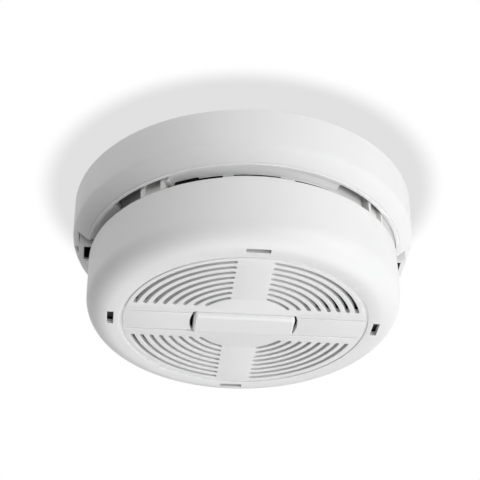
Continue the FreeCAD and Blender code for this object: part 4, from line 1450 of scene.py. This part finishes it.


# ---- dark linings of the base: painted shade ----
@dataclass
class BaseLinings:
    """Black ring inside the bracket's neck and a dark lining in each side lug's slot: painted shade
    in those hollows.
    """

    ring_out: float = 61.2
    ring_in: float = 58.0
    ring_low: float = -25.2
    ring_top: float = -14.2
    ring_round: float = 0.8
    lining_x: tuple[float, float] = (66.15, 69.85)
    lining_half: float = 4.85
    lining_low: float = -24.4
    lining_top: float = -14.1
    sheet: float = 0.35
    corner: float = 0.5
    ring_columns: int = 192
    round_step: float = 15.0

    def build(self) -> None:
        """Builds and dresses the painted-shade ring and both painted-shade linings."""
        shell = Shell("neck_seal")
        corners = [(self.ring_out, self.ring_low), (self.ring_out, self.ring_top),
                   (self.ring_in, self.ring_top), (self.ring_in, self.ring_low)]
        profile = rounded_profile([(*corner, self.ring_round) for corner in corners],
                                  self.round_step)
        shell.turned(profile, self.ring_columns, closed=True)
        PAINT.line(shell.made(Body.BASE), PAINTED_SHADE_BLACK)
        for side, name in ((1, "lug_catch_right"), (-1, "lug_catch_left")):
            shell = Shell(name)
            outer = self._outline(side, 0.0)
            inner = self._outline(side, self.sheet)
            rings = [shell.ring(outer, self.lining_low), shell.ring(outer, self.lining_top),
                     shell.ring(inner, self.lining_top - self.sheet),
                     shell.ring(inner, self.lining_low)]
            for first, second in ((0, 1), (2, 3), (3, 0)):
                shell.bridge(rings[first], rings[second])
            shell.fill([rings[1]], True)
            shell.fill([rings[2]], False)
            PAINT.line(shell.made(Body.BASE), PAINTED_SHADE_LINING)

    def _outline(self, side: int, inset: float) -> Loop:
        """Outline of a lug's shade lining, moved inwards by an inset.

        Args:
            side: 1 for +X, -1 for -X.
            inset: The inset.

        Returns:
            The closed outline.
        """
        x0, x1 = self.lining_x[0] + inset, self.lining_x[1] - inset
        y, c = self.lining_half - inset, self.corner
        points = [(x0 + c, -y), (x1 - c, -y), (x1, -y + c), (x1, y - c), (x1 - c, y), (x0 + c, y),
                  (x0, y - c), (x0, -y + c)]
        return [(side * px, py) for px, py in points]


# ---- the head's cover ----
@dataclass
class FrontCover:
    """Round cover: grille quarters, plain cross, grooves, windows and rounded edge."""

    radius: float = 67.5
    top: float = -28.2
    face: float = -57.3
    wall: float = 2.2
    edge: float = 10.0
    rim_round: float = 1.0
    disc_r: float = 51.8
    bar_half: float = 8.1
    groove_w: float = 1.5
    groove_d: float = 0.55
    groove_round: float = 0.25
    slot_r0: float = 22.06
    slot_pitch: float = 3.84
    slot_count: int = 8
    slot_half: float = 0.85
    arm_half: float = 7.4
    bar_margin: float = 5.0
    window_r: float = 57.0
    window_l: float = 9.8
    window_w: float = 2.6
    button_r: float = 23.1
    button_half: float = 8.4
    post_r: float = 3.6
    post_end: float = -30.7
    post_soft: float = 0.3
    post_sunk: float = 0.5
    pilot_r: float = 1.4
    screw_length: float = 7.0
    tongue: tuple[float, float] = (-13.0, 12.4)
    tongue_h: float = 0.9
    tongue_soft: float = 0.25
    tongue_sunk: float = 1.0
    tongue_steps: int = 24
    window_flare: float = 0.22
    window_over: float = 1.0
    rounding: float = 0.22
    profile_step: float = 5.0
    back_round: float = 0.3
    rim_steps: int = 150
    plate_steps: int = 12
    bar_steps: int = 14
    opening_steps: int = 16

    @property
    def inside(self) -> float:
        """Height of the face's inner side."""
        return self.face + self.wall

    def slots(self) -> list[tuple[float, float, float]]:
        """Radius and end angles of every grille slot.

        Returns:
            One row per slot.
        """
        found = []
        for i in range(self.slot_count):
            radius = self.slot_r0 + i * self.slot_pitch
            clear = self.bar_half + self.bar_margin + self.slot_half
            first = math.degrees(math.asin((self.arm_half + self.slot_half) / radius))
            last = math.degrees(math.acos(clear / radius))
            for start, end in ((first, last), (180 - last, 180 - first)):
                found += [(radius, start, end), (radius, start + 180, end + 180)]
        return found

    def quarter_pair(self) -> Loop:
        """Outline of the +Y island that holds two grille quarters.

        Returns:
            The closed outline.
        """
        angle = math.degrees(math.acos(self.bar_half / self.disc_r))
        rim = arc(self.disc_r, 180 - angle, 180 + angle, self.rim_steps)
        step = math.sqrt(self.button_r ** 2 - self.button_half ** 2)
        return rim + [(-step, self.bar_half), (-step, self.button_half),
                      (step, self.button_half), (step, self.bar_half)]

    def bar_plate(self) -> Loop:
        """Outline of the bar's plain end plate on +X.

        Returns:
            The closed outline.
        """
        half = self.bar_half - self.groove_w
        far = math.degrees(math.asin(half / self.disc_r))
        near = math.degrees(math.asin(half / self.button_r))
        return (arc(self.disc_r, 90 - far, 90 + far, self.plate_steps)
                + arc(self.button_r, 90 + near, 90 - near, self.plate_steps))

    def groove_outer(self) -> Loop:
        """Outer outline of the groove network.

        Returns:
            The closed outline.
        """
        ring = self.disc_r + self.groove_w
        side = math.degrees(math.asin(self.bar_half / ring))
        points: Loop = []
        for centre in (90.0, 270.0):
            points += arc(ring, centre - side, centre + side, self.bar_steps)
            points += arc(ring, centre + side, centre + 180 - side, self.rim_steps)
        return points

    def groove_inner(self) -> Loop:
        """Inner outline of the groove network, round the islands, the plates and the opening.

        Returns:
            The closed outline.
        """
        half = self.bar_half - self.groove_w
        rim = math.degrees(math.asin(self.bar_half / self.disc_r))
        far = math.degrees(math.asin(half / self.disc_r))
        step = math.sqrt(self.button_r ** 2 - self.button_half ** 2)
        leg = math.sqrt(self.button_r ** 2 - half ** 2)
        right = [(step, -self.bar_half), (leg, -half)]
        right += arc(self.disc_r, 90 - far, 90 + far, self.bar_steps)
        right += [(leg, half), (step, self.bar_half)]
        upper = arc(self.disc_r, 90 + rim, 270 - rim, self.rim_steps)
        return right + upper + half_turned(right, 1) + half_turned(upper, 1)

    def opening(self) -> Loop:
        """Outline of the button's opening.

        Returns:
            The closed outline.
        """
        half = math.degrees(math.asin(self.button_half / self.button_r))
        right = arc(self.button_r, 90 - half, 90 + half, self.opening_steps)
        return right + arc(self.button_r, 270 - half, 270 + half, self.opening_steps)

    def build(self) -> bpy.types.Object:
        """Builds and dresses the cover.

        Returns:
            The cover's shell.
        """
        shell = Shell("front_cover_shell")
        outline = rounded_profile([
            (0.0, self.face, 0.0),
            (self.radius, self.face, self.edge),
            (self.radius, self.top, self.rim_round),
            (self.radius - self.wall, self.top, self.back_round),
            (self.radius - self.wall, self.inside, self.edge - self.wall),
            (0.0, self.inside, 0.0),
        ], self.profile_step)[1:-1]
        rings = shell.turned(outline)
        self._face(shell, rings[0])
        self._inside(shell, rings[-1])
        self._tongues(shell)
        self._posts(shell)
        piece = shell.made(Body.HEAD)
        self._cut_windows(piece)
        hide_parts("front_cover")
        PAINT.dress(piece, "white_shell")
        return piece

    def _face(self, shell: Shell, outer: Sequence) -> None:
        """Outer side of the face: ring, islands, bar plates and the grooves between them.

        Args:
            shell: The mesh under construction.
            outer: The ring where the flat face starts.
        """
        floor = self.face + self.groove_d
        ring_edge, ring_foot = shell.rim(self.groove_outer(), self.face, self.groove_round, floor,
                                         True)
        shell.fill([outer, ring_edge], False)
        for times in (0, 1):
            island = half_turned(self.quarter_pair(), times)
            loops = [shell.rim(island, self.face, self.groove_round, floor, False)[0]]
            for radius, start, end in self.slots():
                middle = polar(radius, (start + end) / 2)
                if (middle[1] > 0) == (times == 0):
                    slot = arc_slot(radius, self.slot_half, start, end)
                    loops.append(shell.rim(slot, self.face, self.rounding, self.inside, True)[0])
            shell.fill(loops, False)
            plate = half_turned(self.bar_plate(), times)
            shell.fill([shell.rim(plate, self.face, self.groove_round, floor, False)[0]], False)
        inner = shell.ring(self.groove_inner(), floor)
        shell.fill([ring_foot, inner], False)
        low = shell.ring(self.opening(), floor)
        high = shell.ring(self.opening(), self.inside)
        shell.bridge(low, high)

    def _inside(self, shell: Shell, outer: Sequence) -> None:
        """Inner side of the face, with the slots' ends and the opening.

        Args:
            shell: The mesh under construction.
            outer: The ring where the flat inner side starts.
        """
        loops = [list(outer), shell.ring(self.opening(), self.inside)]
        for radius, start, end in self.slots():
            loops.append(shell.ring(arc_slot(radius, self.slot_half, start, end), self.inside))
        shell.fill(loops, True)

    def _tongues(self, shell: Shell) -> None:
        """Low raised stretch of the rim at the front and at the back.

        Args:
            shell: The mesh under construction.
        """
        low, high = self.top - self.tongue_sunk, self.top + self.tongue_h
        r0, r1 = self.radius - self.wall, self.radius - self.rim_round
        soft = self.tongue_soft
        rows = [(r1, low), (r1, high - soft), (r1 - soft, high), (r0 + soft, high),
                (r0, high - soft), (r0, low)]
        for turn in (0.0, 180.0):
            shell.swept(rows, self.tongue[0] + turn, self.tongue[1] + turn, self.tongue_steps)

    def _posts(self, shell: Shell) -> None:
        """Screw posts inside the cover, each with a blind pilot hole.

        Args:
            shell: The mesh under construction.
        """
        soft = self.post_soft
        root, foot = self.inside - self.post_sunk, self.post_end - self.screw_length
        outline = [(0.0, root), (self.post_r, root), (self.post_r, self.post_end - soft),
                   (self.post_r - soft, self.post_end), (self.pilot_r + soft, self.post_end),
                   (self.pilot_r, self.post_end - soft), (self.pilot_r, foot),
                   (0.0, foot - self.pilot_r / 2)]
        for azimuth in POST_AZIMUTHS:
            shell.turned(outline, PEG_COLUMNS, centre=polar(POST_R, azimuth))

    def _cut_windows(self, piece: bpy.types.Object) -> None:
        """Cuts the four windows through the rounded edge, each with a flared mouth.

        Args:
            piece: The cover's shell.
        """
        for k in range(4):
            cutter = self._window_cutter(k)
            cut = piece.modifiers.new("window", "BOOLEAN")
            cut.operation, cut.object, cut.solver = "DIFFERENCE", cutter, "EXACT"
            evaluated = piece.evaluated_get(bpy.context.evaluated_depsgraph_get())
            mesh = bpy.data.meshes.new_from_object(evaluated)
            piece.modifiers.clear()
            piece.data = mesh
            bpy.data.objects.remove(cutter)
        piece.data.set_sharp_from_angle(angle=math.radians(SHARP_ANGLE))

    def _window_cutter(self, index: int) -> bpy.types.Object:
        """Block with a flared lower end, at one of the four windows.

        Args:
            index: Which window, in quarter turns from +X.

        Returns:
            The block.
        """
        shell = Shell("window_cutter")
        flare, over = self.window_flare, self.window_over
        levels = [(self.face - over, flare + over), (self.face + flare, 0.0),
                  (self.inside + over, 0.0)]
        rings = []
        for z, more in levels:
            hw, hl = self.window_w / 2 + more, self.window_l / 2 + more
            corners = [(self.window_r - hw, -hl), (self.window_r + hw, -hl),
                       (self.window_r + hw, hl), (self.window_r - hw, hl)]
            turn = Matrix.Rotation(math.pi / 2 * index, 2)
            spots = [(*(turn @ Vector(c) * MM), z * MM) for c in corners]
            rings.append([shell.mesh.verts.new(spot) for spot in spots])
        shell.tube(rings)
        for face in shell.mesh.faces:
            face.smooth = False
        bmesh.ops.recalc_face_normals(shell.mesh, faces=shell.mesh.faces[:])
        cutter = shell.placed()
        bpy.context.view_layer.update()
        return cutter


# ---- the test button ----
@dataclass
class TestButton:
    """Push plate with sloped long sides and curved ends, its flange and stem."""

    end_r: float = 22.2
    half: float = 8.1
    face: float = -57.3
    rise: float = 1.4
    shoulder: float = 2.2
    side_rise: float = 1.05
    soft: float = 0.35
    end_bevel: float = 0.9
    end_drop: float = 0.7
    flange_top: float = -53.8
    flange_low: float = -55.0
    flange_x: float = 12.0
    flange_y: float = 10.3
    stem_r: float = 2.6
    stem_top: float = -42.6
    stem_soft: float = 0.3
    stem_sunk: float = 0.2
    stem_tip: float = 0.01
    flange_corner: float = 0.3
    columns: int = 60

    def section(self) -> Loop:
        """Outer (y, z) line of the plate from one long side to the other.

        Returns:
            The line's points.
        """
        flat = self.half - self.shoulder
        steep = self.half - self.shoulder / 2
        top = self.face - self.rise
        side = [(self.half, self.flange_top), (self.half, self.face),
                (steep, self.face - self.side_rise), (flat, top)]
        corners = side + [(-y, z) for y, z in reversed(side)]
        softened = []
        for i, corner in enumerate(corners):
            if i in (0, len(corners) - 1):
                softened.append(corner)
                continue
            here = Vector(corner)
            back = (Vector(corners[i - 1]) - here).normalized()
            ahead = (Vector(corners[i + 1]) - here).normalized()
            first, last = here + back * self.soft, here + ahead * self.soft
            for k in range(ROUND_STEPS + 1):
                t = k / ROUND_STEPS
                spot = first * (1 - t) ** 2 + here * 2 * t * (1 - t) + last * t ** 2
                softened.append(tuple(spot))
        return softened

    def build(self) -> bpy.types.Object:
        """Builds and dresses the button.

        Returns:
            The button's shell.
        """
        shell = Shell("test_button_plate")
        section = self.section()
        shares = [math.sin(math.pi / 2 * (2 * k / self.columns - 1))
                  for k in range(self.columns + 1)]
        columns = []
        for side, share in [(-1, None)] + [(0, s) for s in shares] + [(1, None)]:
            spots = []
            for y, z in section:
                reach = math.sqrt(self.end_r ** 2 - y * y)
                if side:
                    spots.append((side * reach, y, self._end_height(z)))
                else:
                    spots.append((share * (reach - self.end_bevel), y, z))
            columns.append(shell.spots(spots))
        for first, second in zip(columns, columns[1:]):
            shell.bridge(first, second, closed=False)
        self._close_ends(shell, section)
        backs = [(column[0], column[-1]) for column in columns]
        for first, second in zip(backs, backs[1:]):
            shell.mesh.faces.new([first[0], second[0], second[1], first[1]]).smooth = False
        self._flange(shell)
        soft = self.stem_soft
        shell.turned([(self.stem_r, self.flange_top - self.stem_sunk),
                      (self.stem_r, self.stem_top - soft), (self.stem_r - soft, self.stem_top),
                      (self.stem_tip, self.stem_top)], PEG_COLUMNS)
        piece = shell.made(Body.BUTTON)
        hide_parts("test_button")
        PAINT.dress(piece, "white_button")
        return piece

    def _end_height(self, z: float) -> float:
        """Height of the end's outer edge, where the plate's own line is at z."""
        return min(z + self.end_drop, self.face) if z < self.face else z

    def _close_ends(self, shell: Shell, section: Sequence[Point]) -> None:
        """Curved end faces, from the top's soft edge to the plate's back.

        Args:
            shell: The mesh under construction.
            section: The plate's (y, z) line.
        """
        for side in (-1, 1):
            top, low = [], []
            for y, z in section:
                x = side * math.sqrt(self.end_r ** 2 - y * y)
                top.append((x, y, self._end_height(z)))
                low.append((x, y, self.flange_top))
            shell.bridge(shell.spots(top), shell.spots(low), closed=False)

    def _flange(self, shell: Shell) -> None:
        """Thin retaining flange behind the cover.

        Args:
            shell: The mesh under construction.
        """
        x, y, soft = self.flange_x, self.flange_y, self.flange_corner
        half = [(x, -y + soft), (x, y - soft), (x - soft, y), (-x + soft, y)]
        loop = half + half_turned(half, 1)
        shell.tube([shell.ring(loop, self.flange_low), shell.ring(loop, self.flange_top)])


# ---- the button's spring ----
@dataclass
class ButtonSpring:
    """Open coil spring with closed ends."""

    radius: float = 4.3
    wire_r: float = 0.35
    low: float = -53.79
    top: float = -38.45
    open_turns: float = 6.0
    dead_turns: float = 0.9
    turn_steps: int = 40
    wire_sides: int = 14
    coil_gap: float = 0.03
    travel: float = 1.5

    def _height(self, turn: float) -> float:
        """Height of the wire's middle after a number of turns from the lower end.

        Args:
            turn: The number of turns.

        Returns:
            The height.
        """
        closed = 2 * self.wire_r + self.coil_gap
        first, last = self.low + self.wire_r, self.top - self.wire_r
        dead = closed * self.dead_turns
        if turn < self.dead_turns:
            return first + closed * turn
        if turn > self.dead_turns + self.open_turns:
            return last - closed * (2 * self.dead_turns + self.open_turns - turn)
        share = (turn - self.dead_turns) / self.open_turns
        return first + dead + (last - first - 2 * dead) * share

    def build(self) -> None:
        """Builds and dresses the spring."""
        shell = Shell("test_button_spring")
        turns = self.open_turns + 2 * self.dead_turns
        steps = int(turns * self.turn_steps)
        rings = []
        for k in range(steps + 1):
            turn = turns * k / steps
            out = Vector((math.cos(2 * math.pi * turn), math.sin(2 * math.pi * turn), 0.0))
            middle = out * self.radius + Vector((0.0, 0.0, self._height(turn)))
            ring = []
            for i in range(self.wire_sides):
                angle = 2 * math.pi * i / self.wire_sides
                lift = Vector((0.0, 0.0, self.wire_r * math.sin(angle)))
                ring.append(middle + out * (self.wire_r * math.cos(angle)) + lift)
            rings.append(shell.spots(ring))
        shell.tube(rings)
        piece = shell.made(Body.HEAD)
        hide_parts("button_spring")
        PAINT.dress(piece, "spring_steel")
        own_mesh(piece)


# ---- the insect screen ----
@dataclass
class InsectScreen:
    """Black gauze tray behind the grille, with a raised pocket over the button."""

    radius: float = 60.5
    low: float = -53.9
    thick: float = 0.25
    pocket_x: float = 26.0
    pocket_y: float = 11.8
    pocket_z: float = -51.9
    pocket_round: float = 3.0
    stem_hole: float = 5.4
    post_hole: float = 4.2
    lamp_hole: float = 2.3
    lamps: tuple[Point, ...] = ((14.5, 17.0), (20.5, 17.0))
    corner_steps: int = 6
    stem_sides: int = 48
    lamp_sides: int = 24

    def _pocket(self, inset: float) -> Loop:
        """Outline of the pocket's walls, moved inwards by an inset.

        Args:
            inset: The inset.

        Returns:
            The closed outline.
        """
        points: Loop = []
        corner = self.pocket_round
        for sx, sy, start in ((1, 1, 0), (-1, 1, 90), (-1, -1, 180), (1, -1, 270)):
            for k in range(self.corner_steps + 1):
                turn = math.radians(start + 90 * k / self.corner_steps)
                points.append((sx * (self.pocket_x - corner) + (corner - inset) * math.cos(turn),
                               sy * (self.pocket_y - corner) + (corner - inset) * math.sin(turn)))
        return points

    def build(self) -> None:
        """Builds and dresses the screen."""
        shell = Shell("insect_screen")
        walls = []
        for z, side in ((self.low, False), (self.low + self.thick, True)):
            pocket = self._pocket(0.0 if side else self.thick)
            loops = [self._edge(shell, z), shell.ring(pocket, z)]
            for spot in self.lamps:
                loops.append(shell.ring(circle(self.lamp_hole, self.lamp_sides, spot), z))
            shell.fill(loops, side)
            top_z = self.pocket_z + (self.thick if side else 0.0)
            top = shell.ring(pocket, top_z)
            shell.bridge(loops[1], top)
            hole = shell.ring(circle(self.stem_hole, self.stem_sides), top_z)
            shell.fill([top, hole], side)
            walls.append([loops[0], *loops[2:], hole])
        for first, second in zip(*walls):
            shell.bridge(first, second)
        PAINT.line(shell.made(Body.HEAD), SCREEN_GAUZE)

    def _edge(self, shell: Shell, z: float) -> list:
        """Ring round the screen, scalloped clear of the cover's posts.

        Args:
            shell: The mesh under construction.
            z: The ring's height.

        Returns:
            The ring's vertices.
        """
        points: Loop = []
        for azimuth in range(360):
            spot = Vector(polar(self.radius, azimuth))
            for at in POST_AZIMUTHS:
                post = Vector(polar(POST_R, at))
                away = spot - post
                if away.length < self.post_hole:
                    across = away - away.project(post)
                    inwards = math.sqrt(max(0.0, self.post_hole ** 2 - across.length ** 2))
                    spot = post - post.normalized() * inwards + across
            points.append((spot.x, spot.y))
        return shell.ring(points, z)


# ---- nodes that stay as they are ----
class CarriedNodes:
    """Dresses every CAD node that is still shown."""

    def build(self) -> None:
        """Gives each shown node its slot's finish."""
        slots = {row["node"]: row["material_slot"] for row in frame["record"]["subparts"]}
        for name, node in frame["nodes"].items():
            if node.hide_render:
                continue
            PAINT.dress(node, slots[name])
            LOG.info("%s dressed as %s", name, slots[name])


# ---- stage, lights and camera ----
@dataclass
class Studio:
    """Pale glowing ceiling with a painted shadow round the alarm that fades out, soft lights and
    the camera.
    """

    lens: float = 102.4
    distance: float = 608.84
    below: float = 33.615
    roll: float = -0.40
    turn: float = 6.144
    aim: tuple[float, float] = (-1.196, -14.101)
    sensor: float = 36.0
    clips: tuple[float, float] = (0.05, 20.0)
    ceiling_rings: tuple[float, ...] = (1.0, 60.0, 120.0, 240.0, 480.0, 900.0)
    ceiling_sides: int = 96
    ceiling_gap: float = 0.3
    ceiling_light: float = 0.93
    # grey glow round the alarm: a painted shadow on the ceiling
    ceiling_painted_shadow: Colour = (0.755, 0.75, 0.753)
    lamps: tuple = (("key", 45.0, 36.0, 3.8), ("level", 46.0, 10.0, 6.6),
                    ("under", 0.0, 88.0, 3.7), ("rear", 140.0, 62.0, 5.5))
    lamp_size: float = 0.9
    lamp_distance: float = 1.1
    surroundings: float = 0.10
    painted_shadow_centre: tuple[float, float, float] = (-0.0025, -0.0105, 0.0)
    painted_shadow_inner: float = 0.0785
    painted_shadow_outer: float = 0.0915

    def camera(self) -> None:
        """Camera below the alarm, looking up at its front."""
        tilt = math.radians(self.below)
        rho = math.radians(self.roll)
        right = Vector((1.0, 0.0, 0.0))
        ahead = Vector((0.0, math.cos(tilt), math.sin(tilt)))
        up = Vector((0.0, -math.sin(tilt), math.cos(tilt)))
        place = Vector((self.aim[0], 0.0, self.aim[1])) - ahead * self.distance
        across = right * math.cos(rho) + up * math.sin(rho)
        upwards = up * math.cos(rho) - right * math.sin(rho)
        view = Matrix((across, upwards, -ahead)).transposed().to_4x4()
        view.translation = place * MM
        data = bpy.data.cameras.new("alarm_camera")
        data.lens, data.sensor_width = self.lens, self.sensor
        data.clip_start, data.clip_end = self.clips
        camera = bpy.data.objects.new("alarm_camera", data)
        bpy.context.scene.collection.objects.link(camera)
        camera.matrix_world = Matrix.Rotation(math.radians(-self.turn), 4, "Z") @ view
        bpy.context.scene.camera = camera

    def ceiling(self) -> None:
        """Level disc above the base, with a painted grey shadow round the alarm that fades to white
        away from it.
        """
        shell = Shell("ceiling")
        rings = [shell.ring(circle(r, self.ceiling_sides), self.ceiling_gap)
                 for r in self.ceiling_rings]
        for first, second in zip(rings, rings[1:]):
            shell.bridge(first, second)
        shell.mesh.faces.new(rings[0])
        for face in shell.mesh.faces:
            face.normal_update()
            if face.normal.z > 0:
                face.normal_flip()
        ceiling = shell.placed()
        ceiling.data.materials.append(self._ceiling_paint())

    @staticmethod
    def _glow(tree: Tree, colour: Colour, strength: float = 1.0) -> Socket:
        """Adds a shader that glows.

        Args:
            tree: The tree that gets it.
            colour: Its colour.
            strength: Its strength.

        Returns:
            The shader's socket.
        """
        node = tree.nodes.new("ShaderNodeEmission")
        node.inputs["Color"].default_value = (*colour, 1.0)
        node.inputs["Strength"].default_value = strength
        return node.outputs[0]

    @staticmethod
    def _either(tree: Tree, mask: Socket, first: Socket,
                second: Socket) -> Socket:
        """Mixes two shaders by a mask.

        Args:
            tree: The tree that gets the node.
            mask: The mask.
            first: The shader where the mask is 0.
            second: The shader where the mask is 1.

        Returns:
            The mixed shader's socket.
        """
        node = tree.nodes.new("ShaderNodeMixShader")
        for slot, socket in enumerate((mask, first, second)):
            tree.links.new(socket, node.inputs[slot])
        return node.outputs[0]

    def _ceiling_paint(self) -> bpy.types.Material:
        """Glow that is a painted grey shadow round the alarm and white away from it, a plain white
        glow as light for other rays, and clear from above.

        Returns:
            The material.
        """
        material = bpy.data.materials.new("ceiling_paint")
        material.use_nodes = True
        tree = material.node_tree
        tree.nodes.clear()
        length, shift = [tree.nodes.new("ShaderNodeVectorMath") for _ in range(2)]
        length.operation, shift.operation = "LENGTH", "SUBTRACT"
        shift.inputs[1].default_value = self.painted_shadow_centre
        where = tree.nodes.new("ShaderNodeTexCoord")
        tree.links.new(where.outputs["Object"], shift.inputs[0])
        tree.links.new(shift.outputs["Vector"], length.inputs[0])
        fade = tree.nodes.new("ShaderNodeMapRange")
        fade.interpolation_type = "SMOOTHSTEP"
        fade.inputs["From Min"].default_value = self.painted_shadow_inner
        fade.inputs["From Max"].default_value = self.painted_shadow_outer
        tree.links.new(length.outputs["Value"], fade.inputs["Value"])
        # painted shadow: grey glow near the alarm, fading to a white glow further out
        shown = self._either(tree, fade.outputs["Result"], self._glow(tree, self.ceiling_painted_shadow),
                             self._glow(tree, PURE_WHITE))
        direct = tree.nodes.new("ShaderNodeLightPath").outputs["Is Camera Ray"]
        lamp = self._glow(tree, PURE_WHITE, self.ceiling_light)
        seen = self._either(tree, direct, lamp, shown)
        behind = tree.nodes.new("ShaderNodeNewGeometry").outputs["Backfacing"]
        clear = tree.nodes.new("ShaderNodeBsdfTransparent").outputs[0]
        both = self._either(tree, behind, seen, clear)
        out = tree.nodes.new("ShaderNodeOutputMaterial")
        tree.links.new(both, out.inputs["Surface"])
        return material

    def light(self, name: str, azimuth: float, below: float, power: float) -> None:
        """Soft square lamp that shines on the alarm.

        Args:
            name: The lamp's name.
            azimuth: Its direction, from -Y towards +X, in degrees.
            below: How far it stands below the level, in degrees.
            power: Its power in watts.
        """
        data = bpy.data.lights.new(name, "AREA")
        data.shape, data.size, data.energy = "SQUARE", self.lamp_size, power
        lamp = bpy.data.objects.new(name, data)
        bpy.context.scene.collection.objects.link(lamp)
        x, y = polar(self.lamp_distance * math.cos(math.radians(below)), azimuth)
        lamp.location = (x, y, -self.lamp_distance * math.sin(math.radians(below)))
        lamp.rotation_euler = (-lamp.location).to_track_quat("-Z", "Y").to_euler()

    def world(self) -> None:
        """White surroundings: full white to the camera, weaker as light."""
        world = bpy.data.worlds.new("studio_world")
        bpy.context.scene.world = world
        world.use_nodes = True
        tree = world.node_tree
        background = tree.nodes["Background"]
        background.inputs["Color"].default_value = (*PURE_WHITE, 1.0)
        path = tree.nodes.new("ShaderNodeLightPath")
        level = tree.nodes.new("ShaderNodeMapRange")
        level.inputs["To Min"].default_value = self.surroundings
        level.inputs["To Max"].default_value = 1.0
        tree.links.new(path.outputs["Is Camera Ray"], level.inputs["Value"])
        tree.links.new(level.outputs["Result"], background.inputs["Strength"])

    def build(self) -> None:
        """Sets up everything round the alarm."""
        self.camera()
        self.ceiling()
        self.world()
        for lamp in self.lamps:
            self.light(*lamp)
        bpy.context.scene.view_settings.view_transform = "Standard"


def main() -> None:
    """Builds the alarm's sub-assemblies in order, then the studio."""
    logging.basicConfig(level=logging.INFO, format="%(message)s")
    for part in (SurfaceBase(), ChannelRing(), BaseLinings(), FrontCover(), TestButton(),
                 ButtonSpring(), InsectScreen(), CarriedNodes()):
        LOG.info("building %s", type(part).__name__)
        part.build()
    Studio().build()


if __name__ == "__main__":
    main()
